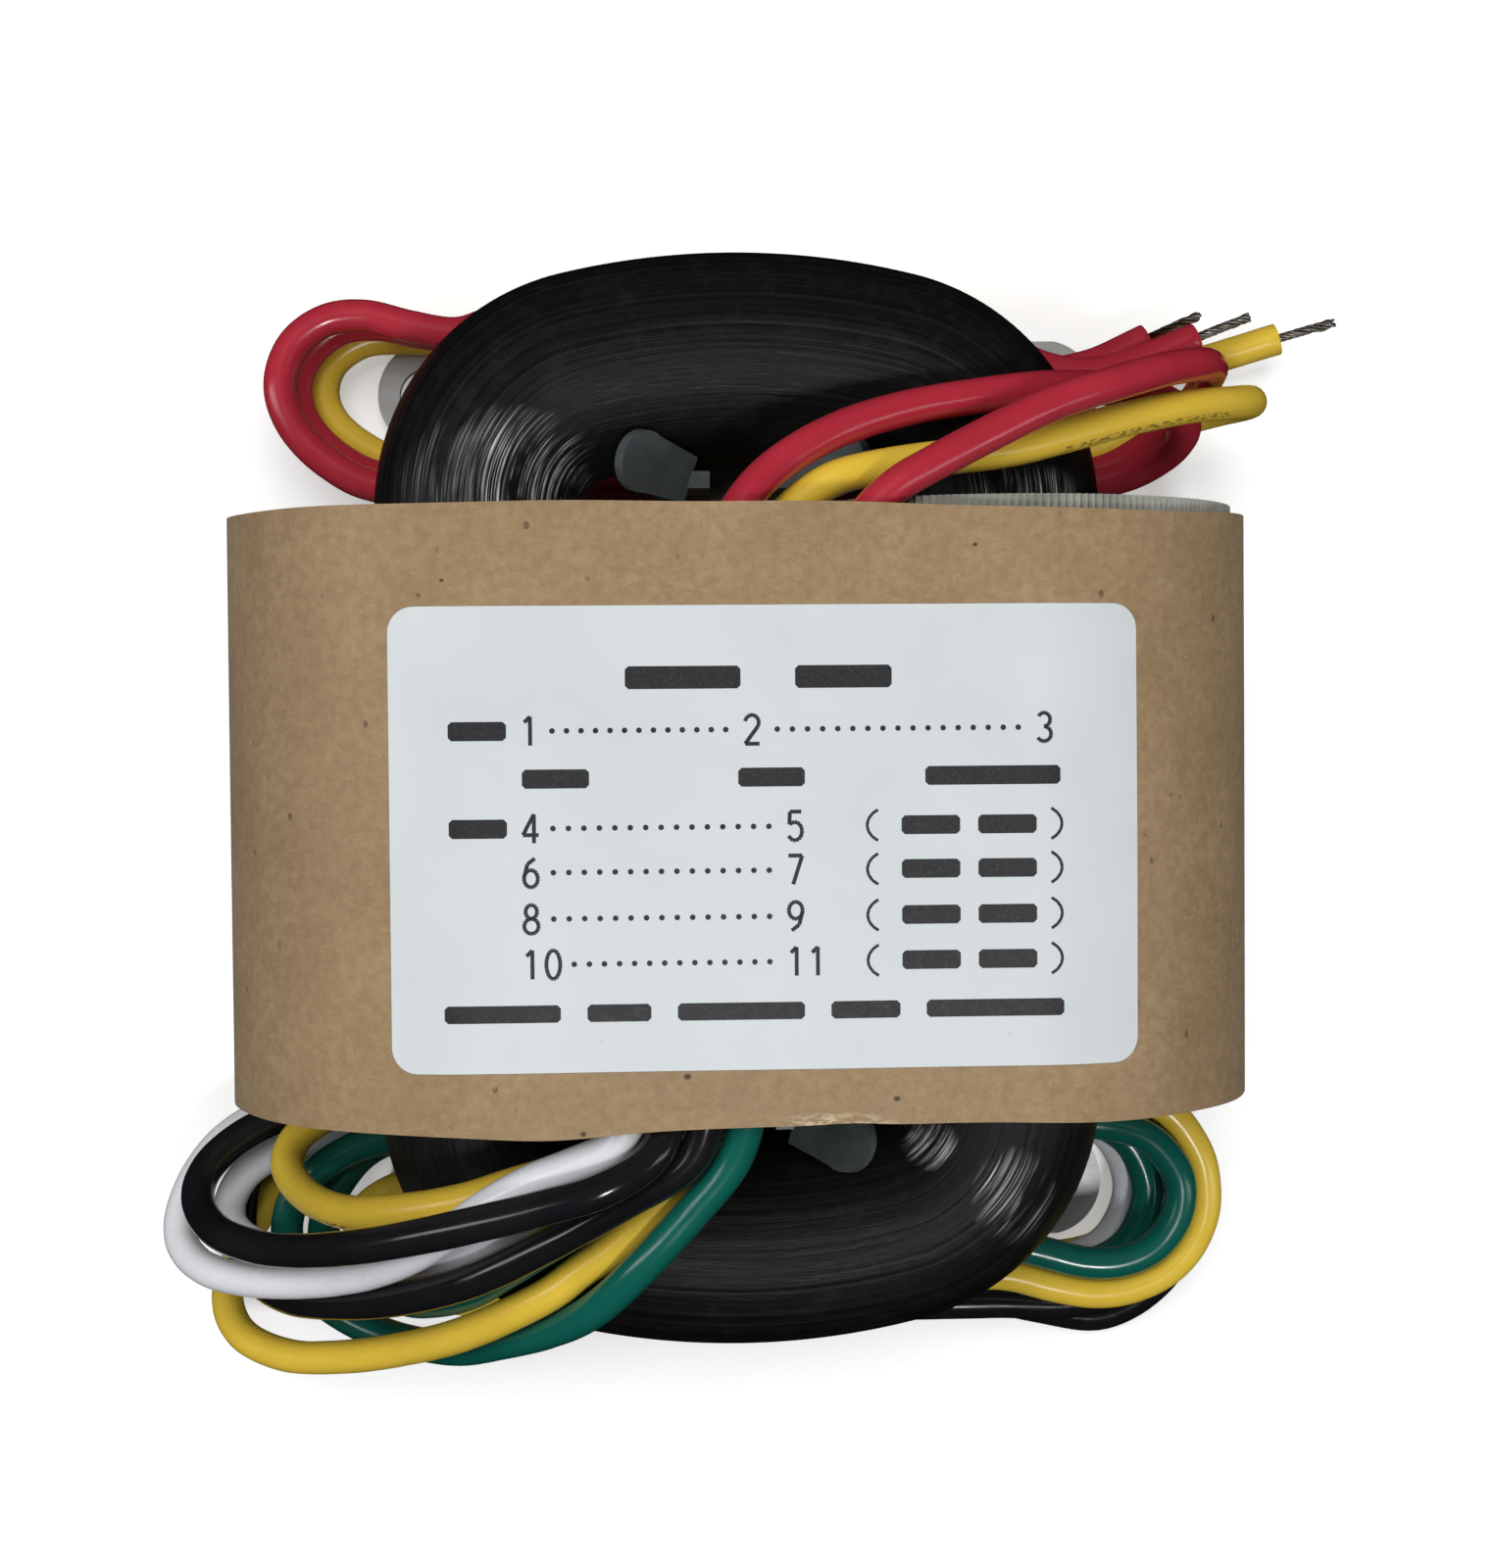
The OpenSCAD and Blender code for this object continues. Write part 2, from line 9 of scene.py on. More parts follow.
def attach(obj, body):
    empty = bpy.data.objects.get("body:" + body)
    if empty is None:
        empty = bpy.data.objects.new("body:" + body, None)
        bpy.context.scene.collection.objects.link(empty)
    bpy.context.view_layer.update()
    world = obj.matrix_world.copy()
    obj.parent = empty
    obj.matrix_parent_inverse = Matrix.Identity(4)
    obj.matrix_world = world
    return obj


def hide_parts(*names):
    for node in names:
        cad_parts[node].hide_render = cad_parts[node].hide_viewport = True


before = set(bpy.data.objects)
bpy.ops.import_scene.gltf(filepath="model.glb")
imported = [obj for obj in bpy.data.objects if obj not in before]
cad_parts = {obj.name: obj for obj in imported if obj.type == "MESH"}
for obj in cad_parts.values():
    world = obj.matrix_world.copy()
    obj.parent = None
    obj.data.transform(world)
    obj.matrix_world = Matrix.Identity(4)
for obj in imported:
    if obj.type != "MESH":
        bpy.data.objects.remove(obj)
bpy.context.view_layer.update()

MM = 0.001
scene = bpy.context.scene
rng = random.Random(7)

# ---------------------------------------------------------------- camera
cam_data = bpy.data.cameras.new("camera")
cam_data.lens = 60.44
cam_data.sensor_width = 36
cam_data.sensor_fit = "AUTO"
cam_data.clip_start = 0.005
cam_data.clip_end = 20
cam = bpy.data.objects.new("camera", cam_data)
scene.collection.objects.link(cam)
turn_cam = (Matrix.Rotation(-0.0611, 3, "Y") @ Matrix.Rotation(-0.029, 3, "X") @ Matrix.Rotation(-0.0078, 3, "Z"))
cam.matrix_world = Matrix.Translation((-0.01124, 0.00673, 0.20995)) @ turn_cam.to_4x4()
scene.camera = cam


# ---------------------------------------------------------------- helpers
def add_mesh(name, verts, faces, smooth=True, uvs=None, uv_name="path"):
    """A mesh object from millimetre points. uvs is one (u, v) for each face corner."""
    me = bpy.data.meshes.new(name)
    me.from_pydata([(v[0] * MM, v[1] * MM, v[2] * MM) for v in verts], [], faces)
    if uvs is not None:
        layer = me.uv_layers.new(name=uv_name)
        layer.data.foreach_set("uv", np.array(uvs, np.float32).ravel())
    me.validate()
    me.polygons.foreach_set("use_smooth", [smooth] * len(me.polygons))
    me.update()
    ob = bpy.data.objects.new(name, me)
    scene.collection.objects.link(ob)
    return ob


def sharpen(ob, degrees=40):
    """Hard edges where two faces meet at more than this angle."""
    me = ob.data
    import bmesh
    bm = bmesh.new()
    bm.from_mesh(me)
    for e in bm.edges:
        if len(e.link_faces) == 2 and e.calc_face_angle(0) > math.radians(degrees):
            e.smooth = False
    bm.to_mesh(me)
    bm.free()


class Mat:
    """A procedural material: nodes are added by name and wired by socket."""

    def __init__(self, name, **sockets):
        self.m = bpy.data.materials.new(name)
        self.m.use_nodes = True
        self.nt = self.m.node_tree
        self.nt.nodes.clear()
        out = self.nt.nodes.new("ShaderNodeOutputMaterial")
        self.b = self.nt.nodes.new("ShaderNodeBsdfPrincipled")
        self.nt.links.new(self.b.outputs[0], out.inputs[0])
        for k, v in sockets.items():
            self.b.inputs[k.replace("_", " ")].default_value = v

    def link(self, a, b):
        self.nt.links.new(a, b)

    def coords(self, scale=(1, 1, 1), uv=None, rot=(0, 0, 0)):
        """Millimetre coordinates of the object, or of a named map, times scale."""
        if uv:
            src = self.nt.nodes.new("ShaderNodeUVMap")
            src.uv_map = uv
            o, k = src.outputs[0], 1.0
        else:
            src = self.nt.nodes.new("ShaderNodeTexCoord")
            o, k = src.outputs["Object"], 1000.0
        mp = self.nt.nodes.new("ShaderNodeMapping")
        mp.inputs["Scale"].default_value = [s * k for s in scale]
        mp.inputs["Rotation"].default_value = rot
        self.link(o, mp.inputs[0])
        return mp.outputs[0]

    def noise(self, vec, scale=1.0, detail=3.0, rough=0.55, dist=0.0):
        n = self.nt.nodes.new("ShaderNodeTexNoise")
        n.inputs["Scale"].default_value = scale
        n.inputs["Detail"].default_value = detail
        n.inputs["Roughness"].default_value = rough
        n.inputs["Distortion"].default_value = dist
        self.link(vec, n.inputs["Vector"])
        return n.outputs[0]

    def voronoi(self, vec, scale=1.0, feature="F1", out="Distance", rand=1.0):
        n = self.nt.nodes.new("ShaderNodeTexVoronoi")
        n.feature = feature
        n.inputs["Scale"].default_value = scale
        n.inputs["Randomness"].default_value = rand
        self.link(vec, n.inputs["Vector"])
        return n.outputs[out]

    def ramp(self, fac, stops, mode="LINEAR"):
        n = self.nt.nodes.new("ShaderNodeValToRGB")
        n.color_ramp.interpolation = mode
        while len(n.color_ramp.elements) < len(stops):
            n.color_ramp.elements.new(0.5)
        for e, (p, c) in zip(n.color_ramp.elements, stops):
            e.position = p
            e.color = (c, c, c, 1) if isinstance(c, (int, float)) else (*c, 1)
        self.link(fac, n.inputs[0])
        return n.outputs[0]

    def mix(self, fac, a, b, blend="MIX"):
        n = self.nt.nodes.new("ShaderNodeMix")
        n.data_type = "RGBA"
        n.blend_type = blend
        for i, v in ((0, fac), (6, a), (7, b)):
            if isinstance(v, (int, float)):
                n.inputs[i].default_value = v if i == 0 else (v, v, v, 1)
            elif isinstance(v, tuple):
                n.inputs[i].default_value = (*v, 1)
            else:
                self.link(v, n.inputs[i])
        return n.outputs[2]

    def math(self, op, a, b=0.0, c=0.0):
        n = self.nt.nodes.new("ShaderNodeMath")
        n.operation = op
        for i, v in enumerate((a, b, c)):
            if isinstance(v, (int, float)):
                n.inputs[i].default_value = v
            else:
                self.link(v, n.inputs[i])
        return n.outputs[0]

    def remap(self, fac, a, b, lo, hi):
        n = self.nt.nodes.new("ShaderNodeMapRange")
        n.inputs[1].default_value, n.inputs[2].default_value = a, b
        n.inputs[3].default_value, n.inputs[4].default_value = lo, hi
        self.link(fac, n.inputs[0])
        return n.outputs[0]

    def split(self, vec):
        n = self.nt.nodes.new("ShaderNodeSeparateXYZ")
        self.link(vec, n.inputs[0])
        return n.outputs

    def spot(self, xyz, cx, cy, rx, ry):
        """1 in the middle of an ellipse in X and Y, 0 at its rim and beyond."""
        dx = self.math("DIVIDE", self.math("SUBTRACT", xyz[0], cx), rx)
        dy = self.math("DIVIDE", self.math("SUBTRACT", xyz[1], cy), ry)
        d = self.math("SQRT", self.math("ADD", self.math("MULTIPLY", dx, dx), self.math("MULTIPLY", dy, dy)))
        return self.remap(d, 0.0, 1.0, 1.0, 0.0)

    def base(self, c):
        self.link(c, self.b.inputs["Base Color"])

    def rough(self, c):
        self.link(c, self.b.inputs["Roughness"])

    def bump(self, h, strength=0.3, dist_mm=0.1, after=None):
        n = self.nt.nodes.new("ShaderNodeBump")
        n.inputs["Strength"].default_value = strength
        n.inputs["Distance"].default_value = dist_mm * MM
        self.link(h, n.inputs["Height"])
        if after is not None:
            self.link(after, n.inputs["Normal"])
        self.link(n.outputs[0], self.b.inputs["Normal"])
        return n.outputs[0]


def wear(ob, mat):
    """Gives an object one material."""
    if len(ob.material_slots):
        for s in ob.material_slots:
            s.material = mat.m
    else:
        ob.data.materials.append(mat.m)


# ---------------------------------------------------------------- lead routes, millimetres, as in the CAD
def run(y, z, xs):
    return [(x, y, z) for x in xs]


def half_turn(cx, r, z):
    return [(cx + r * math.cos(math.radians(a)), -31.5 + r * math.sin(math.radians(a)), z) for a in (90, 45, 0, -45, -90)]


in_x = [-22, -8, 6, 20]
out_x = [20, 8, -4]
row = [1.3, 3.85, 6.4, 8.95]
in_a, in_b, out_a, out_b = -23, -25.6, -40, -37.4

routes = {
    "red_lead_1": [(-2.5, 12, 34.6), (-2.2, 17, 34.6), (-0.5, 20.6, 34.3), (2.2, 23.3, 32.9), (6.2, 25.6, 31.1), (11, 27.2, 29.6),
        (16.3, 28.2, 28.4), (21, 28.9, 26.8), (26, 29.3, 23.4), (30.3, 29.3, 19.2), (33.2, 28.4, 15.4), (34.2, 27.2, 12.2),
        (33, 25.6, 9.8), (30, 24.2, 8.2)]
        + run(23.2, 7.6, [24, 10, -4, -20])
        + [(-26.9, 23.8, 7.6), (-30.4, 25.5, 7.6), (-33, 28.1, 7.6), (-34.1, 31.2, 7.6), (-33.2, 34.3, 7.6), (-30.7, 36.3, 7.6), (-27.6, 36.7, 7.6),
        (-24.2, 35.9, 7.6), (-20.6, 35.4, 7.6), (-16.8, 36.6, 7.6)]
        + run(37.4, 7.6, [-11, 0, 10])
        + [(14.6, 37.4, 7.6), (18, 36.6, 7.6), (21, 34.6, 7.7), (24, 32.9, 7.8), (27.6, 32.3, 7.9), (31.4, 33.1, 7.9), (36.2, 35, 7.9)],
    "red_lead_2": [(5.2, 12, 34.6), (5.4, 16.4, 34.6), (7.5, 19.4, 34.6), (9.7, 21.5, 34.6), (12.6, 23.2, 33.8), (16.6, 25.3, 32.4), (21, 27.4, 30.8),
        (25.6, 29, 28.6), (30, 30.4, 25.4), (33.2, 31.2, 21.8), (35, 31.5, 17.8), (35.7, 31.2, 13.8), (35.2, 29.5, 10),
        (32.8, 26.9, 6.6), (28.4, 24.8, 5.2)]
        + run(24.2, 5.05, [20, 8, -6, -20])
        + [(-26.3, 24.6, 5.05), (-29.8, 26.1, 5.05), (-32.2, 28.5, 5.05), (-33.1, 31.3, 5.05), (-32.2, 34, 5.05), (-29.8, 36, 5.05), (-26.8, 36.4, 5.05),
        (-23.6, 35.8, 5.05), (-20.2, 35.6, 5.05), (-16.4, 36.8, 5.05)]
        + run(37.6, 5.05, [-11, -1, 9])
        + [(14, 37.6, 5.05), (17.8, 37, 5.05), (21, 34.9, 5.1), (24.4, 32.8, 5.2), (28.4, 33.3, 5.2), (32.9, 35.3, 5.2)],
    "screen_lead": [(0.4, 12, 31.9), (0.6, 16.4, 31.9), (2.6, 19.9, 31.9), (5.6, 22.1, 31.8), (9.4, 23.1, 31), (13.8, 23.8, 29.9), (18, 24.4, 28.8),
        (22.2, 25.5, 27.2), (27, 26.9, 25), (32, 28.1, 22), (36, 28.8, 18.4), (38.8, 29.4, 14.2), (39.2, 29.6, 10),
        (37, 29.3, 6.2), (33, 28.2, 3.6), (28.4, 26.4, 2.7)]
        + run(25.4, 2.5, [20, 8, -6, -20])
        + [(-25.4, 26, 2.5), (-28.3, 27.3, 2.5), (-30.5, 29.2, 2.5), (-31.3, 31.5, 2.5), (-30.5, 33.8, 2.5), (-28.2, 35.4, 2.5), (-25.2, 35.7, 2.5),
        (-22, 35.7, 2.5), (-18.6, 36.6, 2.5)]
        + run(37.8, 2.5, [-12, 0, 10])
        + [(17.6, 37.6, 2.5), (21.8, 35.2, 2.5), (26, 33.2, 2.5), (31, 32.8, 2.7), (36.8, 33.6, 3.2), (43.6, 35.5, 4)],
    "yellow_lead_2": [(-5, -12, 31.9), (-5, -17, 31.9), (-5.2, -20.6, 31.9), (-6.3, -22.8, 31.6), (-9, -23.9, 31.1), (-12.4, -24.7, 30.5), (-16, -25.8, 29.4),
        (-20, -27.3, 27.5), (-24.4, -28.4, 24.8), (-28.8, -29.2, 20.6), (-32.2, -28.7, 15.6), (-33.8, -27, 11.8), (-32.6, -24.9, 9.7), (-28.5, -23.2, 8.95)]
        + run(in_a, row[3], in_x)
        + [(28, -23, 8.95), (33, -24.4, 8.95), (35.8, -27.8, 8.95), (36.5, -31.4, 8.95), (35.8, -34.4, 8.95),
        (33.9, -36.9, 8.95), (31, -38.4, 8.95), (27.8, -38.8, 8.95), (24.4, -38.2, 8.95), (21, -37.3, 8.95), (17, -37.2, 8.95)]
        + run(-37.4, row[3], [8, -4])
        + [(-13, -38.2, 8.7), (-20, -38.6, 8.1), (-24, -37.9, 7.5), (-26.8, -36.9, 7.3), (-28.5, -35.3, 7.3), (-28.9, -33.3, 7.4), (-28.3, -31.5, 7.6), (-26.8, -30.3, 7.7), (-24.8, -29.5, 7.8)],
    "black_lead_1": [(-5.9, -12, 34.6), (-5.9, -17, 34.6), (-5.9, -20.7, 34.5), (-7.2, -23.3, 35.4), (-10.4, -25.2, 35.9), (-14.2, -26.4, 35.2), (-18.4, -27.6, 33.9), (-22.4, -28.8, 31.8),
        (-26.8, -30.1, 28.6), (-31.3, -31.2, 24.4), (-35.2, -31.6, 20.6), (-38.6, -31, 16.8), (-40.3, -29.3, 13), (-39.6, -27.2, 9.8),
        (-36.4, -25, 7.6), (-31, -23.5, 6.5)]
        + run(in_a, row[2], in_x)
        + half_turn(27.3, 8.5, row[2])
        + run(out_a, row[2], [20, 8, -6]),
    "white_lead_1": [(-8.6, -12, 34.5), (-8.6, -17, 34.5), (-8.6, -20.6, 34.5), (-9.8, -22.7, 34.1), (-12.4, -24, 33.4), (-15.2, -25.2, 32.6), (-18, -26.9, 31.4), (-20.6, -28.9, 29.8),
        (-23.6, -31.1, 27.4), (-27, -32.9, 24.2), (-31.4, -34.1, 20.8), (-36.2, -34.7, 17.2), (-40, -34.3, 13.8), (-42, -32.6, 10.6),
        (-41.6, -29.5, 7.8), (-39.2, -26.2, 5.6), (-34.8, -23.9, 4.2), (-29, -23.1, 3.85)]
        + run(in_a, row[1], in_x)
        + half_turn(26.6, 8.5, row[1])
        + run(out_a, row[1], [20, 8, -9]),
    "black_lead_2": [(-3.3, -12, 34.6), (-3.3, -17, 34.6), (-3.3, -20.8, 34.4), (-4.7, -23.9, 33.8), (-8.6, -26.4, 32.9), (-14.2, -29.7, 31.5),
        (-19.6, -32.7, 28.6), (-24.8, -34.8, 24), (-29.4, -36, 19.6), (-33.4, -36.6, 14.8), (-36.4, -36, 10), (-38, -34, 6.4),
        (-38, -30.4, 3.4), (-36.2, -27, 1.8), (-32.8, -24, 1.3), (-28, -23, 1.3)]
        + run(in_a, row[0], in_x)
        + [(27, -23, 1.3), (32.6, -24.8, 1.3), (36.2, -29, 1.3), (37, -34.4, 1.3), (34.8, -39.4, 1.3),
        (30, -42.3, 1.3), (24.4, -41.6, 1.3), (18.4, -40.2, 1.3), (10, -40, 1.3), (-2, -40, 1.3), (-14, -40, 1.3)],
    "green_lead_1": [(-0.6, -12, 34.6), (-0.6, -17, 34.6), (-0.6, -20.8, 34), (-1.6, -24, 33.2), (-4, -27.1, 32.5), (-7.7, -31.3, 31.5),
        (-11, -34.8, 28.9), (-14, -36.9, 25.6), (-17.4, -38.6, 21.6), (-21.2, -40.2, 16.8), (-26, -40.4, 12), (-30, -39.2, 9.4), (-33.2, -36.8, 8),
        (-34.4, -33.4, 7.4), (-33.6, -30.2, 7.8), (-31.2, -27.8, 8.4), (-27.5, -26.1, 8.8)]
        + run(in_b, row[3], in_x)
        + [(27, -25.5, 9.4), (31.4, -26.4, 10.2), (33.9, -29.2, 10.6), (34, -32.2, 10.6), (32.4, -34.8, 10.5),
        (29.8, -36.1, 10.4), (26.8, -36.2, 10.2), (23.6, -35.4, 10), (20.4, -34.6, 9.8)],
    "green_lead_2": [(0.9, -12, 29.2), (0.9, -17, 29.2), (0.3, -20.6, 28.4), (-2.4, -23.8, 26.9), (-5.6, -26.3, 26.9), (-9.4, -27.9, 27.4), (-14.5, -30.7, 27.9),
        (-17.2, -32.5, 26.8), (-20, -34.6, 23.7), (-24, -36.2, 18.5), (-28, -36, 13), (-31, -34.9, 9.2), (-31.6, -32.6, 6.8), (-30.6, -29.8, 5.8), (-27.6, -26.8, 6.2)]
        + run(in_b, row[2], in_x)
        + half_turn(26.6, 5.9, row[2])
        + run(out_b, row[2], [20, 8, -6]),
    "white_lead_2": [(-1.8, -12, 29.2), (-1.8, -17, 29.2), (-2.4, -20.6, 29.1), (-4.4, -23.2, 28.6), (-7.6, -24.9, 28.6), (-10.5, -25.9, 28.5), (-14, -27.5, 28.5),
        (-18.6, -30.1, 27.5), (-22.8, -32.2, 23.6), (-26, -33.3, 18.4), (-30.4, -33.9, 14.8), (-35, -33.8, 11.8), (-38.2, -32.5, 9),
        (-38.6, -30.4, 6.6), (-36.6, -28.1, 5), (-31, -26, 4)]
        + run(in_b, row[1], in_x)
        + half_turn(25.6, 5.9, row[1])
        + run(out_b, row[1], [20, 8, -9]),
    "yellow_lead_1": [(0.4, -12, 31.9), (0.4, -17, 31.9), (-0.2, -20.8, 31.3), (-2.7, -24, 30.6), (-6, -26.8, 30), (-9.3, -30.2, 29.1),
        (-12, -32.3, 28.1), (-14.8, -34.4, 27.1), (-20.3, -37.7, 22.8), (-25.4, -40, 17.6), (-30, -41.4, 13.6), (-34.2, -42, 10.2), (-37.8, -41.2, 7),
        (-39.4, -39.2, 4.2), (-39, -36.6, 2.2), (-37.2, -32.8, 1.4), (-34.4, -29, 1.3), (-30.2, -26.1, 1.3)]
        + run(in_b, row[0], in_x)
        + half_turn(27.2, 5.9, row[0])
        + run(-37.4, row[0], [20, 8, -12]),
}
LEAD_R = 1.24
TIP_R, TIP_L = 0.45, 5.0


def smooth_route(pts, steps):
    """Catmull-Rom points through the route, with the end points mirrored."""
    p = np.array(pts, float)
    ext = np.vstack([2 * p[0] - p[1], p, 2 * p[-1] - p[-2]])
    out = []
    for i in range(len(p) - 1):
        a, b, c, d = ext[i:i + 4]
        for k in range(steps):
            t = k / steps
            out.append(0.5 * (2 * b + (c - a) * t + (2 * a - 5 * b + 4 * c - d) * t * t + (3 * b - a - 3 * c + d) * t ** 3))
    out.append(p[-1])
    return np.array(out)


def carried(q):
    """Tangents and twist-free normals along a line of points."""
    t = np.gradient(q, axis=0)
    t /= np.linalg.norm(t, axis=1)[:, None]
    n = np.zeros_like(t)
    v = np.array([1.0, 0.01, 0.0])
    for i in range(len(q)):
        v = v - (v @ t[i]) * t[i]
        v /= np.linalg.norm(v)
        n[i] = v
    return t, n, np.cross(t, n)


def lead_mesh(name, q, r, sides=20):
    """An insulated lead: a round tube with a cut, slightly dished end and a small rounded rim."""
    t, n, b = carried(q)
    s = np.concatenate([[0], np.cumsum(np.linalg.norm(np.diff(q, axis=0), axis=1))])
    rings = []
    for i in range(len(q)):
        rr = r * (1 + 0.006 * math.sin(s[i] * 0.55 + len(name)) + 0.004 * math.sin(s[i] * 1.7))
        rings.append((q[i], rr, i, s[i]))
    e = len(q) - 1
    end = [(q[e] + t[e] * 0.05, r * 0.955), (q[e] + t[e] * 0.06, r * 0.88), (q[e] + t[e] * 0.0, r * 0.6), (q[e] - t[e] * 0.03, r * 0.36)]
    rings += [(c, rr, e, s[e] + 0.1 * (k + 1)) for k, (c, rr) in enumerate(end)]
    verts = []
    for c, rr, i, at in rings:
        for k in range(sides):
            a = 2 * math.pi * k / sides
            verts.append(c + rr * (math.cos(a) * n[i] + math.sin(a) * b[i]))
    faces, uvs = [], []
    m = len(rings)
    for i in range(m - 1):
        for k in range(sides):
            k1 = (k + 1) % sides
            faces.append((i * sides + k, i * sides + k1, (i + 1) * sides + k1, (i + 1) * sides + k))
            for (ii, kk) in ((i, k), (i, k + 1), (i + 1, k + 1), (i + 1, k)):
                uvs.append((rings[ii][3], kk / sides * 2 * math.pi * r))
    c0 = len(verts)
    verts.append(q[0])
    verts.append(rings[-1][0])
    for k in range(sides):
        k1 = (k + 1) % sides
        faces.append((k1, k, c0))
        uvs += [(0, 0), (0, 0), (0, 0)]
        faces.append(((m - 1) * sides + k, (m - 1) * sides + k1, c0 + 1))
        uvs += [(rings[-1][3], 0)] * 3
    return add_mesh(name, verts, faces, True, uvs), float(s[-1])


def strand_mesh(name, e, d, seed):
    """The bare end: seven tinned strands laid in a twist, a little loose at the tip."""
    r0 = random.Random(seed)
    x = np.cross(d, [0.13, 0.4, 0.9])
    x /= np.linalg.norm(x)
    y = np.cross(d, x)
    verts, faces = [], []
    sides, rings = 7, 26
    for k in range(7):
        hr = 0.0 if k == 0 else 0.245
        ph = k * math.pi / 3
        sr = 0.132
        fray = (r0.uniform(-0.1, 0.1), r0.uniform(-0.1, 0.1))
        length = TIP_L - r0.uniform(0.0, 0.5)
        line = []
        for i in range(rings):
            u = i / (rings - 1)
            a = ph + 2 * math.pi * u * 1.5
            h = hr * (1 + 0.12 * math.sin(5 * u + k)) * (0.92 + 0.08 * u)
            line.append(np.array(e) + d * (length * u - 0.25) + x * (h * math.cos(a) + fray[0] * u ** 3) + y * (h * math.sin(a) + fray[1] * u ** 3))
        line = np.array(line)
        t, n, b = carried(line)
        o = len(verts)
        for i in range(rings):
            rr = sr * (1 if i < rings - 1 else 0.75)
            for j in range(sides):
                a = 2 * math.pi * j / sides
                verts.append(line[i] + rr * (math.cos(a) * n[i] + math.sin(a) * b[i]))
        for i in range(rings - 1):
            for j in range(sides):
                j1 = (j + 1) % sides
                faces.append((o + i * sides + j, o + i * sides + j1, o + (i + 1) * sides + j1, o + (i + 1) * sides + j))
        faces.append(tuple(o + j for j in reversed(range(sides))))
        faces.append(tuple(o + (rings - 1) * sides + j for j in range(sides)))
    return add_mesh(name, verts, faces, True)


# ---------------------------------------------------------------- lead materials
def pvc(name, lit, dark, rough=0.3, marks=None, spec=0.5):
    """Soft, glossy extruded insulation: faint cloudiness and a few handling smudges."""
    m = Mat(name, Roughness=rough, IOR=1.5)
    m.b.inputs["Specular IOR Level"].default_value = spec
    c = m.coords()
    cloud = m.noise(c, 0.12, 3, 0.6)
    grain = m.noise(c, 2.2, 2, 0.5)
    col = m.mix(m.remap(cloud, 0.3, 0.7, 0, 1), dark, lit)
    col = m.mix(m.remap(grain, 0.3, 0.7, 0.0, 0.10), col, tuple(0.75 * x for x in lit))
    uv = m.coords((1, 1, 1), uv="path")
    if marks:
        # a faint broken run of ink flecks on one side of one stretch, as on surface-printed wire
        start, stop, side = marks
        sx = m.split(uv)
        band = m.math("LESS_THAN", m.math("ABSOLUTE", m.math("SUBTRACT", sx[1], side)), 0.24)
        dash = m.math("GREATER_THAN", m.noise(m.coords((1.5, 3.2, 1), uv="path"), 1.0, 1.0, 0.4), 0.52)
        gate = m.math("MULTIPLY", m.math("GREATER_THAN", sx[0], start), m.math("LESS_THAN", sx[0], stop))
        ink = m.math("MULTIPLY", m.math("MULTIPLY", band, dash), m.math("MULTIPLY", gate, 0.62))
        col = m.mix(ink, col, (0.06, 0.045, 0.03))
    m.base(col)
    smudge = m.noise(c, 0.35, 4, 0.65)
    m.rough(m.remap(smudge, 0.3, 0.75, rough - 0.04, rough + 0.09))
    m.bump(m.noise(c, 0.3, 1, 0.4), 0.03, 0.05)
    return m


m_red = pvc("pvc_red", (0.44, 0.027, 0.046), (0.37, 0.020, 0.037), 0.20)
m_yellow = pvc("pvc_yellow", (0.80, 0.55, 0.055), (0.71, 0.48, 0.045), 0.24)
m_yellow_screen = pvc("pvc_yellow_screen", (0.80, 0.55, 0.055), (0.71, 0.48, 0.045), 0.24, marks=(29, 46, 7.05))
m_yellow_curl = pvc("pvc_yellow_curl", (0.80, 0.55, 0.055), (0.71, 0.48, 0.045), 0.24, marks=(36.5, 41, 1.4))
m_green = pvc("pvc_green", (0.005, 0.112, 0.086), (0.003, 0.092, 0.070), 0.20)
m_white = pvc("pvc_white", (0.77, 0.78, 0.81), (0.71, 0.72, 0.76), 0.24)
m_black = pvc("pvc_black", (0.011, 0.011, 0.013), (0.007, 0.007, 0.009), 0.15)

m_strand = Mat("tinned_strands", Metallic=1.0, Roughness=0.42)
_c = m_strand.coords()
m_strand.base(m_strand.ramp(m_strand.noise(_c, 1.6, 4, 0.6), [(0.3, (0.22, 0.19, 0.16)), (0.5, (0.46, 0.42, 0.37)), (0.72, (0.64, 0.61, 0.56))]))
m_strand.rough(m_strand.remap(m_strand.noise(_c, 3, 2), 0.3, 0.7, 0.3, 0.55))
m_strand.bump(m_strand.noise(_c, 6, 2), 0.25, 0.05)

lead_mat = {"red_lead_1": m_red, "red_lead_2": m_red, "screen_lead": m_yellow_screen, "yellow_lead_1": m_yellow, "yellow_lead_2": m_yellow_curl,
    "green_lead_1": m_green, "green_lead_2": m_green, "white_lead_1": m_white, "white_lead_2": m_white, "black_lead_1": m_black, "black_lead_2": m_black}
lead_slot = {"red": "red_pvc", "screen": "yellow_pvc", "yellow": "yellow_pvc", "green": "green_pvc", "white": "white_pvc", "black": "black_pvc"}

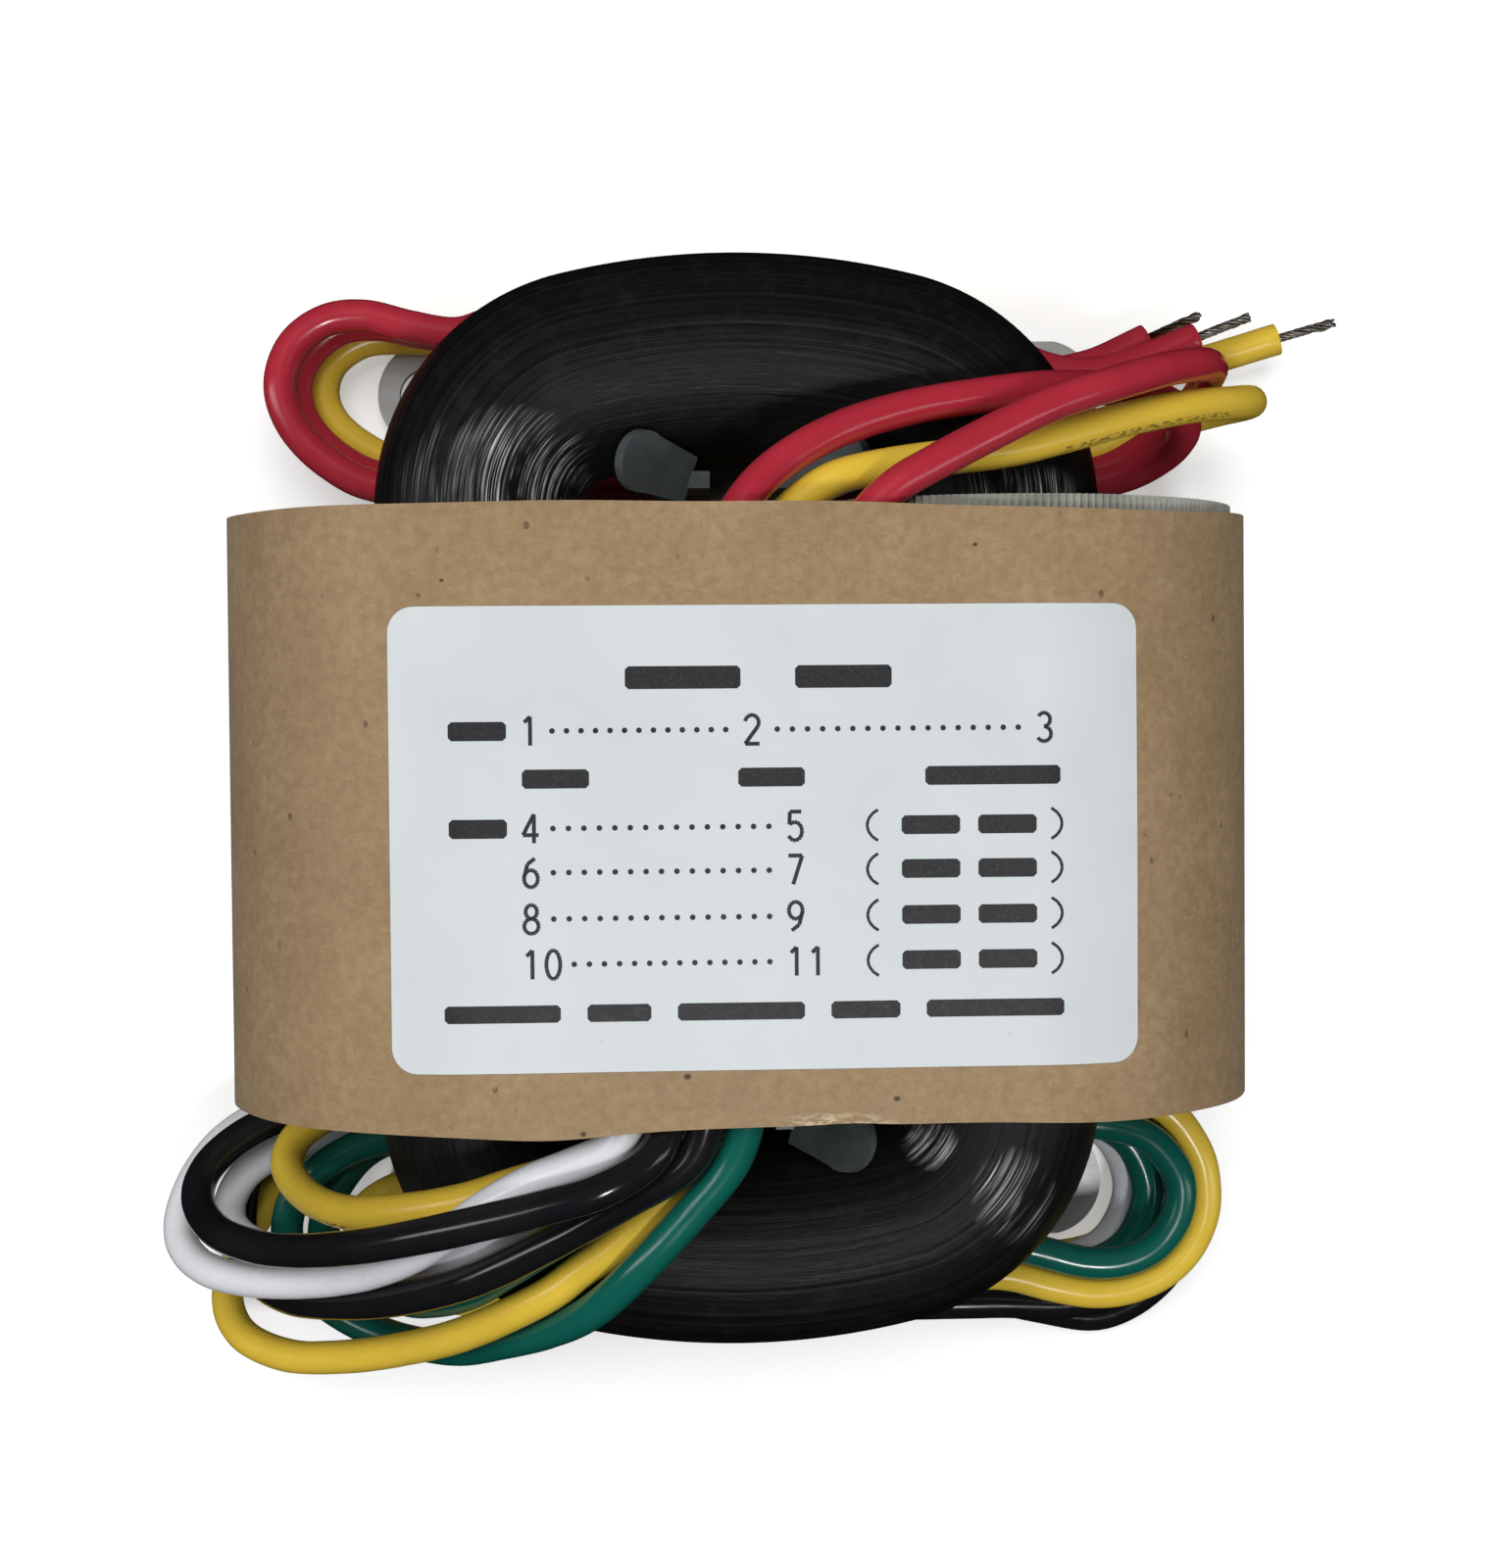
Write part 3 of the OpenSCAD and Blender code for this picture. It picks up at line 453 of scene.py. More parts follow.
for idx, (name, pts) in enumerate(routes.items()):
    q = smooth_route(pts, 9)
    ob, length = lead_mesh(name.replace("lead", "wire"), q, LEAD_R)
    wear(ob, lead_mat[name])
    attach(ob, "root")
    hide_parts(name)
    lead_slot[name.split("_")[0]]
    e = np.array(pts[-1], float)
    d = e - np.array(pts[-2], float)
    d /= np.linalg.norm(d)
    st = strand_mesh(name.replace("lead", "strands"), e, d, idx)
    wear(st, m_strand)
    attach(st, "root")
    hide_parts("primary_lead_tips" if pts[0][1] > 0 else "secondary_lead_tips")

# ---------------------------------------------------------------- core: wound strip of round section
AXIS_Z, CORE_R, LEG_X, SHY, SHR, CROWN_R = 19.0, 7.5, 18.7, 21.0, 10.0, 47.0
sh_cx = LEG_X - SHR
crown_cy = SHY - math.sqrt((CROWN_R - SHR) ** 2 - sh_cx ** 2)
join = math.degrees(math.atan2(SHY - crown_cy, sh_cx))


def core_quarter():
    """Points and outward normals from the middle of the right leg to the middle of the top crown."""
    out = []
    for k in range(12):
        out.append((LEG_X, SHY * k / 12, 1.0, 0.0))
    for k in range(34):
        a = math.radians(join * k / 34)
        out.append((sh_cx + SHR * math.cos(a), SHY + SHR * math.sin(a), math.cos(a), math.sin(a)))
    for k in range(18):
        a = math.radians(join + (90 - join) * k / 18)
        out.append((CROWN_R * math.cos(a), crown_cy + CROWN_R * math.sin(a), math.cos(a), math.sin(a)))
    return out


quarter = core_quarter()
path = list(quarter)
path.append((0.0, crown_cy + CROWN_R, 0.0, 1.0))
path += [(-x, y, -nx, ny) for x, y, nx, ny in reversed(quarter[1:])]
path.append((-LEG_X, 0.0, -1.0, 0.0))
path += [(-x, -y, -nx, -ny) for x, y, nx, ny in quarter[1:]]
path.append((0.0, -crown_cy - CROWN_R, 0.0, -1.0))
path += [(x, -y, nx, -ny) for x, y, nx, ny in reversed(quarter[1:])]
P = np.array(path)
arc = np.concatenate([[0], np.cumsum(np.hypot(np.diff(P[:, 0]), np.diff(P[:, 1])))])
total = arc[-1] + math.hypot(P[0, 0] - P[-1, 0], P[0, 1] - P[-1, 1])

STRIPS = 58
half = []
for k in range(2 * STRIPS):
    f = k / (2 * STRIPS)
    half.append(0.72 * math.acos(1 - 2 * f) + 0.28 * math.pi * f)
phis = half + [p + math.pi for p in half]
strip_off = {}
for k in range(-2, STRIPS + 3):
    for side in (0, 1):
        strip_off[(k, side)] = (rng.uniform(-0.05, 0.0), rng.uniform(0, 6.28), rng.uniform(0.0, 0.018))
verts, faces, uvs = [], [], []
ns = len(phis)
for i in range(len(P)):
    x, y, nx, ny = P[i]
    for k, ph in enumerate(phis):
        u = math.cos(ph)
        w = math.sin(ph)
        at = (u + 1) / 2 * STRIPS
        strip = int(at)
        base, phase, amp = strip_off[(strip, 0 if w >= 0 else 1)]
        near = min(at - strip, strip + 1 - at)
        groove = -0.022 if near < 0.25 else 0.0
        off = base + groove + amp * math.sin(2 * math.pi * arc[i] / total * 3 + phase)
        r = CORE_R + off * abs(w) ** 0.5
        verts.append((x + nx * u * r, y + ny * u * r, AXIS_Z + w * r))
m = len(P)
for i in range(m):
    i1 = (i + 1) % m
    s0, s1 = arc[i], arc[i + 1] if i + 1 < m else total
    for k in range(ns):
        k1 = (k + 1) % ns
        faces.append((i * ns + k, i1 * ns + k, i1 * ns + k1, i * ns + k1))
        ua, ub = math.cos(phis[k]) * CORE_R, math.cos(phis[k1]) * CORE_R
        uvs += [(ua, s0), (ua, s1), (ub, s1), (ub, s0)]
core = add_mesh("wound_core", verts, faces, True, uvs)
m_core = Mat("core_lacquer", Metallic=0.0, IOR=1.5)
m_core.b.inputs["Specular IOR Level"].default_value = 0.24
_o = m_core.coords()
_xyz = m_core.split(_o)
streak = m_core.noise(m_core.coords((3.4, 0.02, 1), uv="path"), 1.0, 5, 0.7)
fine = m_core.noise(m_core.coords((11.0, 0.06, 1), uv="path"), 1.0, 3, 0.6)
dust = m_core.noise(_o, 0.5, 5, 0.65)
col = m_core.ramp(streak, [(0.25, (0.003, 0.003, 0.0035)), (0.5, (0.006, 0.006, 0.0065)), (0.66, (0.012, 0.012, 0.012)), (0.8, (0.030, 0.029, 0.027))])
col = m_core.mix(m_core.remap(dust, 0.5, 0.8, 0.0, 0.14), col, (0.06, 0.055, 0.046))
# painted highlight: the glints of the side light on the shoulders of the core, drawn as fine bright lines along the
# strip edges
painted_glint_area = m_core.spot(_xyz, -16.5, 22.6, 8.0, 5.6)
for cx, cy, rx, ry in ((19.6, 22.0, 5.0, 1.9), (18.8, -28.0, 3.4, 3.9), (12.9, -24.3, 2.2, 2.0)):
    painted_glint_area = m_core.math("MAXIMUM", painted_glint_area, m_core.spot(_xyz, cx, cy, rx, ry))
lines = m_core.remap(m_core.noise(m_core.coords((5.5, 0.03, 1), uv="path"), 1.0, 4, 0.75), 0.49, 0.60, 0.0, 1.0)
patch = m_core.remap(m_core.noise(m_core.coords((0.5, 0.10, 1), uv="path"), 1.0, 3, 0.6), 0.42, 0.58, 0.0, 1.0)
painted_glint_ragged = m_core.math("MULTIPLY", painted_glint_area, m_core.remap(m_core.noise(m_core.coords((2.6, 0.16, 1), uv="path"), 1.0, 3, 0.6), 0.34, 0.66, 0.1, 1.7))
bright = m_core.math("MULTIPLY", m_core.math("MULTIPLY", m_core.remap(painted_glint_ragged, 0.05, 0.62, 0.0, 1.0), lines), patch)
# painted highlight: the glint lines are mixed into the lacquer's base colour
col = m_core.mix(bright, col, (0.70, 0.71, 0.69))
m_core.base(col)
m_core.rough(m_core.math("ADD", m_core.remap(streak, 0.25, 0.75, 0.34, 0.5), m_core.remap(dust, 0.4, 0.8, -0.04, 0.1)))
m_core.bump(m_core.math("ADD", m_core.math("MULTIPLY", streak, 1.0), m_core.math("MULTIPLY", fine, 0.5)), 0.5, 0.12)
wear(core, m_core)
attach(core, "root")
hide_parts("core")

# ---------------------------------------------------------------- paper band
BAND_R = 17.9
BAND_T = 1.0


def around(s, r):
    """Point of the band's outline at run s (from the middle of the front, to the right), r from the coil centres."""
    straight, bend = LEG_X, math.pi * BAND_R
    full = 4 * straight + 2 * bend
    s = s % full
    if s <= straight:
        return (s, AXIS_Z + r, 0.0, 1.0)
    s -= straight
    if s <= bend:
        a = s / BAND_R
        return (LEG_X + r * math.sin(a), AXIS_Z + r * math.cos(a), math.sin(a), math.cos(a))
    s -= bend
    if s <= 2 * straight:
        return (LEG_X - s, AXIS_Z - r, 0.0, -1.0)
    s -= 2 * straight
    if s <= bend:
        a = s / BAND_R
        return (-LEG_X - r * math.sin(a), AXIS_Z - r * math.cos(a), -math.sin(a), -math.cos(a))
    s -= bend
    return (-LEG_X + s, AXIS_Z + r, 0.0, 1.0)


FULL = 4 * LEG_X + 2 * math.pi * BAND_R
COLS = 300


def bellcurve(s, at, width):
    d = (s - at + FULL / 2) % FULL - FULL / 2
    return math.exp(-(d / width) ** 2)


def top_edge(s):
    y = 20.3 + 0.06 * math.sin(2 * math.pi * s / FULL * 3 + 0.6) + 0.035 * math.sin(2 * math.pi * s / FULL * 11)
    y -= 0.55 * bellcurve(s, 24, 14) - 0.10 * bellcurve(s, -14, 10)
    return y


def bottom_edge(s):
    y = -21.1 + 0.05 * math.sin(2 * math.pi * s / FULL * 4 + 1.2) + 0.03 * math.sin(2 * math.pi * s / FULL * 13 + 0.4)
    y -= 0.55 * bellcurve(s, -13.5, 5.5) + 0.12 * bellcurve(s, -24, 8)
    y += 0.16 * bellcurve(s, 6, 2.2) + 0.12 * bellcurve(s, 13, 6)
    return y


def swell(s, v):
    """How far the outer sheet stands off its place: soft upright ridges and a slack lower edge. v runs 0 to 1 from the bottom."""
    d = 0.045 * bellcurve(s, -15.5, 2.6) + 0.04 * bellcurve(s, 4.6, 2.4) + 0.04 * bellcurve(s, 19.6, 2.2) - 0.03 * bellcurve(s, -6, 5) - 0.03 * bellcurve(s, 11.5, 4)
    d += 0.02 * math.sin(2 * math.pi * s / FULL * 9 + 3 * v)
    low = max(0.0, 1 - v * 7)
    d += low ** 2 * (0.10 * bellcurve(s, 5.5, 1.4) - 0.12 * bellcurve(s, 8, 1.6) + 0.06 * bellcurve(s, -9, 6))
    return d - 0.06


verts, faces = [], []
ROWS = 46
for layer in range(4):
    r_out = BAND_R - layer * BAND_T / 4
    r_in = r_out - BAND_T / 4 + 0.02
    base = len(verts)
    rows = ROWS if layer == 0 else 3
    # outer face from the bottom up, then the inner face from the top down
    prof = [(j / (rows - 1), 0) for j in range(rows)] + [(1.0, 1), (0.0, 1)]
    np_ = len(prof)
    for i in range(COLS):
        s = FULL * i / COLS
        yb = bottom_edge(s) + (0.0 if layer == 0 else 0.09 * layer + 0.10 * math.sin(s * 0.11 * layer + layer * 2.1))
        yt = top_edge(s) - (0.0 if layer == 0 else 0.06 * layer + 0.09 * math.sin(s * 0.09 * layer + layer * 1.3))
        for v, inner in prof:
            r = (r_in if inner else r_out) + (swell(s, v) if layer == 0 else -0.06)
            x, z, _, _ = around(s, r)
            verts.append((x, yb + (yt - yb) * v, z))
    for i in range(COLS):
        i1 = (i + 1) % COLS
        for j in range(np_):
            j1 = (j + 1) % np_
            faces.append((base + i * np_ + j, base + i1 * np_ + j, base + i1 * np_ + j1, base + i * np_ + j1))
band = add_mesh("kraft_band", verts, faces, True)
sharpen(band, 50)

m_kraft = Mat("kraft_paper", IOR=1.45)
m_kraft.b.inputs["Specular IOR Level"].default_value = 0.42
m_kraft.b.inputs["Sheen Weight"].default_value = 0.08
m_kraft.b.inputs["Sheen Roughness"].default_value = 0.4
c = m_kraft.coords()
cloud = m_kraft.noise(c, 0.16, 5, 0.6)
mottle = m_kraft.noise(m_kraft.coords((1.0, 1.0, 1.0)), 1.3, 4, 0.6)
fibre_a = m_kraft.noise(m_kraft.coords((1.6, 3.4, 1.6), rot=(0, 0, 0.5)), 1.0, 3, 0.6)
fibre_b = m_kraft.noise(m_kraft.coords((4.2, 0.8, 4.2), rot=(0, 0, -0.3)), 1.0, 3, 0.6)
col = m_kraft.ramp(cloud, [(0.25, (0.272, 0.181, 0.093)), (0.5, (0.312, 0.211, 0.112)), (0.75, (0.358, 0.249, 0.137))])
col = m_kraft.mix(m_kraft.remap(mottle, 0.38, 0.64, 0.0, 0.5), col, (0.215, 0.136, 0.067))
col = m_kraft.mix(m_kraft.remap(fibre_a, 0.56, 0.70, 0.0, 0.34), col, (0.41, 0.295, 0.172))
col = m_kraft.mix(m_kraft.remap(fibre_b, 0.60, 0.74, 0.0, 0.45), col, (0.23, 0.14, 0.07))
fleck = m_kraft.math("LESS_THAN", m_kraft.voronoi(m_kraft.coords((1, 0.7, 1), rot=(0, 0, 0.7)), 0.42), 0.085)
col = m_kraft.mix(m_kraft.math("MULTIPLY", fleck, m_kraft.remap(m_kraft.noise(c, 0.6, 1), 0.45, 0.6, 0.0, 0.75)), col, (0.10, 0.058, 0.03))
_xyz = m_kraft.split(c)
front = m_kraft.math("GREATER_THAN", _xyz[2], 30.0)
# three dark specks and a scuffed, fibrous stretch of the lower edge
specks = m_kraft.spot(_xyz, -4.7, -17.6, 0.34, 0.26)
for cx, cy, r in ((9.2, -19.3, 0.30), (-11.6, -21.3, 0.26), (-20.5, 15.2, 0.2), (14.6, 17.4, 0.2)):
    specks = m_kraft.math("MAXIMUM", specks, m_kraft.spot(_xyz, cx, cy, r, 0.8 * r))
col = m_kraft.mix(m_kraft.math("MULTIPLY", front, m_kraft.remap(specks, 0.0, 0.5, 0.0, 0.85)), col, (0.03, 0.018, 0.01))
scuff = m_kraft.math("MULTIPLY", m_kraft.spot(_xyz, 5.2, -20.9, 4.6, 0.9), m_kraft.remap(m_kraft.noise(m_kraft.coords((1.2, 3.4, 1.2), rot=(0, 0, 0.4)), 1.0, 3, 0.65), 0.46, 0.6, 0.0, 1.0))
col = m_kraft.mix(m_kraft.math("MULTIPLY", front, m_kraft.remap(scuff, 0.0, 0.5, 0.0, 0.7)), col, (0.60, 0.47, 0.31))
m_kraft.base(col)
m_kraft.rough(m_kraft.math("ADD", m_kraft.remap(cloud, 0.3, 0.7, 0.46, 0.56), m_kraft.remap(fibre_a, 0.3, 0.7, -0.05, 0.05)))
m_kraft.bump(m_kraft.math("ADD", m_kraft.math("MULTIPLY", m_kraft.noise(c, 2.4, 4, 0.6), 0.7), m_kraft.math("MULTIPLY", fibre_b, 0.4)), 0.34, 0.08)
wear(band, m_kraft)
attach(band, "root")
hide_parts("paper_wrap")

# ---------------------------------------------------------------- label
LAB_X, LAB_Y, LAB_HW, LAB_HH, LAB_R = 0.75, -1.85, 24.85, 15.35, 1.7


def on_band(a, y, h):
    """Point at run a along the front and height y, h above the outer sheet."""
    s = a
    yb, yt = bottom_edge(s), top_edge(s)
    v = min(1.0, max(0.0, (y - yb) / (yt - yb)))
    x, z, _, _ = around(s, BAND_R + swell(s, v) + h)
    return (x, y, z)


def half_width(y):
    """Half the label's width at height y above its middle, with its corners rounded."""
    d = abs(y) - (LAB_HH - LAB_R)
    return LAB_HW if d <= 0 else LAB_HW - LAB_R + math.sqrt(max(0.0, LAB_R ** 2 - d * d))


def lab_run(x_across):
    """The label is given by its seen width; on the bends its run is longer than its reach across."""
    if abs(x_across) <= LEG_X:
        return x_across
    sgn = 1 if x_across > 0 else -1
    return sgn * (LEG_X + BAND_R * math.asin(min(1.0, (abs(x_across) - LEG_X) / BAND_R)))


rows_y = []
for k in range(9):
    rows_y.append(-LAB_HH + LAB_R * (1 - math.cos(math.pi / 2 * k / 8)))
rows_y += [-(LAB_HH - LAB_R) + 2 * (LAB_HH - LAB_R) * k / 26 for k in range(1, 26)]
rows_y += [-y for y in reversed(rows_y[:9])]
LC = 96
verts, faces = [], []
nr = len(rows_y)
for j, y in enumerate(rows_y):
    hw = half_width(y)
    for i in range(LC + 1):
        a = lab_run(LAB_X - hw + 2 * hw * i / LC)
        lift = 0.0
        edge = max(0.0, (i / LC - 0.965) / 0.035)
        lift += 0.05 * edge ** 2 * math.exp(-((y + 1) / 9) ** 2)
        verts.append(on_band(a, LAB_Y + y, 0.10 + lift))
top_n = len(verts)
for j, y in enumerate(rows_y):
    hw = half_width(y)
    for i in range(LC + 1):
        a = lab_run(LAB_X - hw + 2 * hw * i / LC)
        verts.append(on_band(a, LAB_Y + y, 0.005))
for j in range(nr - 1):
    for i in range(LC):
        a, b, c, d = j * (LC + 1) + i, j * (LC + 1) + i + 1, (j + 1) * (LC + 1) + i + 1, (j + 1) * (LC + 1) + i
        faces.append((a, b, c, d))
        faces.append((top_n + a, top_n + d, top_n + c, top_n + b))
rim = [(0, i) for i in range(LC)] + [(j, LC) for j in range(nr - 1)] + [(nr - 1, LC - i) for i in range(LC)] + [(nr - 1 - j, 0) for j in range(nr - 1)]
ids = [j * (LC + 1) + i for j, i in rim]
for k in range(len(ids)):
    a, b = ids[k], ids[(k + 1) % len(ids)]
    faces.append((b, a, top_n + a, top_n + b))
label = add_mesh("white_label", verts, faces, True)
sharpen(label, 50)
m_label = Mat("label_paper", IOR=1.48)
m_label.b.inputs["Specular IOR Level"].default_value = 0.45
c = m_label.coords()
cloud = m_label.noise(c, 0.10, 3, 0.55)
grain = m_label.noise(c, 3.0, 3, 0.6)
col = m_label.ramp(cloud, [(0.3, (0.565, 0.605, 0.625)), (0.7, (0.605, 0.645, 0.66))])
col = m_label.mix(m_label.remap(grain, 0.4, 0.75, 0.0, 0.10), col, (0.58, 0.61, 0.63))
speck = m_label.math("LESS_THAN", m_label.voronoi(c, 0.22), 0.02)
col = m_label.mix(m_label.math("MULTIPLY", speck, 0.35), col, (0.3, 0.3, 0.3))
m_label.base(col)
m_label.rough(m_label.remap(cloud, 0.3, 0.7, 0.34, 0.44))
m_label.bump(m_label.math("ADD", m_label.math("MULTIPLY", cloud, 3.0), m_label.math("MULTIPLY", grain, 0.25)), 0.10, 0.15)
wear(label, m_label)
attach(label, "root")
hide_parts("label")

# plain print: dotted leaders, bars and plain numbers, as thin ink a hair above the sheet
pv, pf = [], []
INK_H = 0.112


def ink_poly(points):
    """A filled convex outline on the label, points as (across, height) in millimetres."""
    o = len(pv)
    for x, y in points:
        pv.append(on_band(lab_run(x), y, INK_H))
    pf.append(tuple(range(o, o + len(points))))


def ink_dot(x, y, r):
    ink_poly([(x + r * math.cos(2 * math.pi * k / 12), y + r * math.sin(2 * math.pi * k / 12)) for k in range(12)])


def ink_bar(x0, x1, y, h):
    """A bar with rounded ends, cut into short lengths so that it follows the bend."""
    n = max(2, int((x1 - x0) / 0.45))
    xs = [x0 + (x1 - x0) * k / n for k in range(n + 1)]
    cut = 0.22
    for k in range(n):
        a, b = xs[k], xs[k + 1]
        pts = [(a, y - h / 2), (b, y - h / 2), (b, y + h / 2), (a, y + h / 2)]
        if k == 0 and k == n - 1:
            pts = [(a + cut, y - h / 2), (b - cut, y - h / 2), (b, y - h / 2 + cut), (b, y + h / 2 - cut), (b - cut, y + h / 2), (a + cut, y + h / 2), (a, y + h / 2 - cut), (a, y - h / 2 + cut)]
        elif k == 0:
            pts = [(a + cut, y - h / 2), (b, y - h / 2), (b, y + h / 2), (a + cut, y + h / 2), (a, y + h / 2 - cut), (a, y - h / 2 + cut)]
        elif k == n - 1:
            pts = [(a, y - h / 2), (b - cut, y - h / 2), (b, y - h / 2 + cut), (b, y + h / 2 - cut), (b - cut, y + h / 2), (a, y + h / 2)]
        ink_poly(pts)


def ink_line(points, w):
    """A stroke through the points, one straight piece for each segment."""
    for (x0, y0), (x1, y1) in zip(points[:-1], points[1:]):
        dx, dy = x1 - x0, y1 - y0
        d = math.hypot(dx, dy)
        nx, ny = -dy / d * w / 2, dx / d * w / 2
        ink_poly([(x0 - nx, y0 - ny), (x1 - nx, y1 - ny), (x1 + nx, y1 + ny), (x0 + nx, y0 + ny)])


def arc_pts(cx, cy, rx, ry, a0, a1, n=12):
    return [(cx + rx * math.cos(math.radians(a0 + (a1 - a0) * k / n)), cy + ry * math.sin(math.radians(a0 + (a1 - a0) * k / n))) for k in range(n + 1)]


# strokes of plain figures in a box 0.56 wide and 1 high
figures = {
    "0": [arc_pts(0.28, 0.5, 0.24, 0.5, 0, 360, 20)],
    "1": [[(0.1, 0.8), (0.3, 1.0), (0.3, 0.0)]],
    "2": [arc_pts(0.28, 0.74, 0.24, 0.26, 170, -35, 12) + [(0.04, 0.0), (0.54, 0.0)]],
    "3": [arc_pts(0.27, 0.76, 0.22, 0.24, 150, -90, 12), arc_pts(0.27, 0.26, 0.25, 0.26, 90, -150, 12)],
    "4": [[(0.4, 0.0), (0.4, 1.0), (0.02, 0.28), (0.56, 0.28)]],
    "5": [[(0.5, 1.0), (0.1, 1.0), (0.08, 0.56)] + arc_pts(0.27, 0.32, 0.25, 0.32, 115, -150, 12)],
    "6": [arc_pts(0.28, 0.3, 0.24, 0.3, 0, 360, 18), [(0.05, 0.36), (0.16, 0.8), (0.42, 1.0)]],
    "7": [[(0.04, 1.0), (0.52, 1.0), (0.2, 0.0)]],
    "8": [arc_pts(0.28, 0.76, 0.2, 0.24, 0, 360, 16), arc_pts(0.28, 0.26, 0.25, 0.26, 0, 360, 18)],
    "9": [arc_pts(0.28, 0.7, 0.24, 0.3, 0, 360, 18), [(0.51, 0.64), (0.4, 0.2), (0.14, 0.0)]],
}


def ink_figure(text, x, y, h, w=0.26):
    for ch in text:
        for stroke in figures[ch]:
            ink_line([(x + px * h, y - h / 2 + py * h) for px, py in stroke], w)
        x += 0.74 * h
    return x


def leader(x0, x1, y):
    n = int(round((x1 - x0) / 0.98))
    for k in range(n + 1):
        ink_dot(x0 + (x1 - x0) * k / n, y, 0.19)


ink_bar(-8.6, -1.0, 8.75, 1.5)
ink_bar(2.6, 9.0, 8.75, 1.5)
ROW_Y = [5.3, 2.15, -1.1, -4.0, -7.05, -10.05, -13.3]
ink_bar(-20.2, -16.4, ROW_Y[0], 1.25)
ink_figure("1", -15.4, ROW_Y[0], 1.9)
leader(-13.4, -2.0, ROW_Y[0])
ink_figure("2", -0.8, ROW_Y[0], 1.9)
leader(1.4, 17.4, ROW_Y[0])
ink_figure("3", 18.6, ROW_Y[0], 1.9)
ink_bar(-15.4, -11.0, ROW_Y[1], 1.25)
ink_bar(-1.2, 3.2, ROW_Y[1], 1.25)
ink_bar(11.2, 20.2, ROW_Y[1], 1.25)
ink_bar(-20.2, -16.4, ROW_Y[2], 1.25)
for k, (a, b, w0) in enumerate((("4", "5", 9.6), ("6", "7", 9.6), ("8", "9", 9.6), ("10", "11", 9.6))):
    y = ROW_Y[2 + k]
    end = ink_figure(a, -15.4, y, 1.9)
    leader(max(-13.4, end + 0.5), 0.8, y)
    ink_figure(b, 2.0, y, 1.9)
    ink_line(arc_pts(9.0, y, 1.7, 1.25, 125, 235, 6), 0.2)
    ink_bar(w0, w0 + 3.9, y, 1.25)
    ink_bar(w0 + 5.1, w0 + 9.0, y, 1.25)
    ink_line(arc_pts(18.6, y, 1.7, 1.25, 55, -55, 6), 0.2)
x = -20.6
for wdt in (7.6, 4.2, 8.4, 4.6, 9.2):
    ink_bar(x, x + wdt, ROW_Y[6], 1.15)
    x += wdt + 1.75
ink = add_mesh("label_print", pv, pf, False)
m_ink = Mat("label_ink", Roughness=0.45, IOR=1.45)
c = m_ink.coords()
m_ink.base(m_ink.ramp(m_ink.noise(c, 5.0, 3, 0.6), [(0.3, (0.012, 0.012, 0.014)), (0.6, (0.022, 0.022, 0.025)), (0.8, (0.07, 0.07, 0.075))]))
m_ink.rough(m_ink.remap(m_ink.noise(c, 2, 2), 0.3, 0.7, 0.38, 0.5))
wear(ink, m_ink)
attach(ink, "root")

# ---------------------------------------------------------------- CAD nodes that stay: finishes
m_zinc = Mat("zinc_steel", Metallic=0.35)
c = m_zinc.coords()
cloud = m_zinc.noise(c, 0.4, 3, 0.55)
brush = m_zinc.noise(m_zinc.coords((0.4, 6, 6)), 1.0, 3, 0.6)
tone = m_zinc.math("ADD", m_zinc.math("MULTIPLY", cloud, 0.6), m_zinc.math("MULTIPLY", brush, 0.4))
bright = m_zinc.ramp(tone, [(0.2, (0.42, 0.44, 0.45)), (0.5, (0.56, 0.58, 0.59)), (0.8, (0.70, 0.72, 0.73))])
# painted shade: the cut and bent prongs up in the window get a dark copy of the zinc colour, the feet keep the bright
# one
painted_shade_zinc = m_zinc.ramp(tone, [(0.2, (0.062, 0.074, 0.080)), (0.5, (0.096, 0.111, 0.117)), (0.8, (0.155, 0.175, 0.18))])
m_zinc.base(m_zinc.mix(m_zinc.remap(m_zinc.split(c)[2], 4.0, 12.0, 0.0, 1.0), bright, painted_shade_zinc))
m_zinc.rough(m_zinc.remap(tone, 0.2, 0.8, 0.46, 0.32))
m_zinc.bump(m_zinc.math("ADD", brush, m_zinc.noise(c, 1.2, 4, 0.6)), 0.15, 0.06)

m_nylon = Mat("nylon", IOR=1.5)
c = m_nylon.coords()
m_nylon.base(m_nylon.ramp(m_nylon.noise(c, 0.5, 4, 0.6), [(0.3, (0.225, 0.225, 0.198)), (0.7, (0.33, 0.33, 0.297))]))
m_nylon.rough(m_nylon.remap(m_nylon.noise(c, 2.0, 3), 0.3, 0.7, 0.38, 0.55))
m_nylon.bump(m_nylon.noise(c, 4.0, 3), 0.12, 0.06)

m_tape = Mat("polyester_tape", IOR=1.55)
m_tape.b.inputs["Coat Weight"].default_value = 0.3
m_tape.b.inputs["Coat Roughness"].default_value = 0.12
c = m_tape.coords()
m_tape.base(m_tape.ramp(m_tape.noise(m_tape.coords((0.6, 2.0, 0.6)), 1.0, 4, 0.6), [(0.3, (0.52, 0.33, 0.06)), (0.55, (0.66, 0.45, 0.10)), (0.8, (0.74, 0.56, 0.18))]))
m_tape.rough(m_tape.remap(m_tape.noise(c, 1.0, 3), 0.3, 0.7, 0.2, 0.36))
m_tape.bump(m_tape.noise(m_tape.coords((0.4, 3.0, 0.4)), 1.0, 3), 0.25, 0.1)

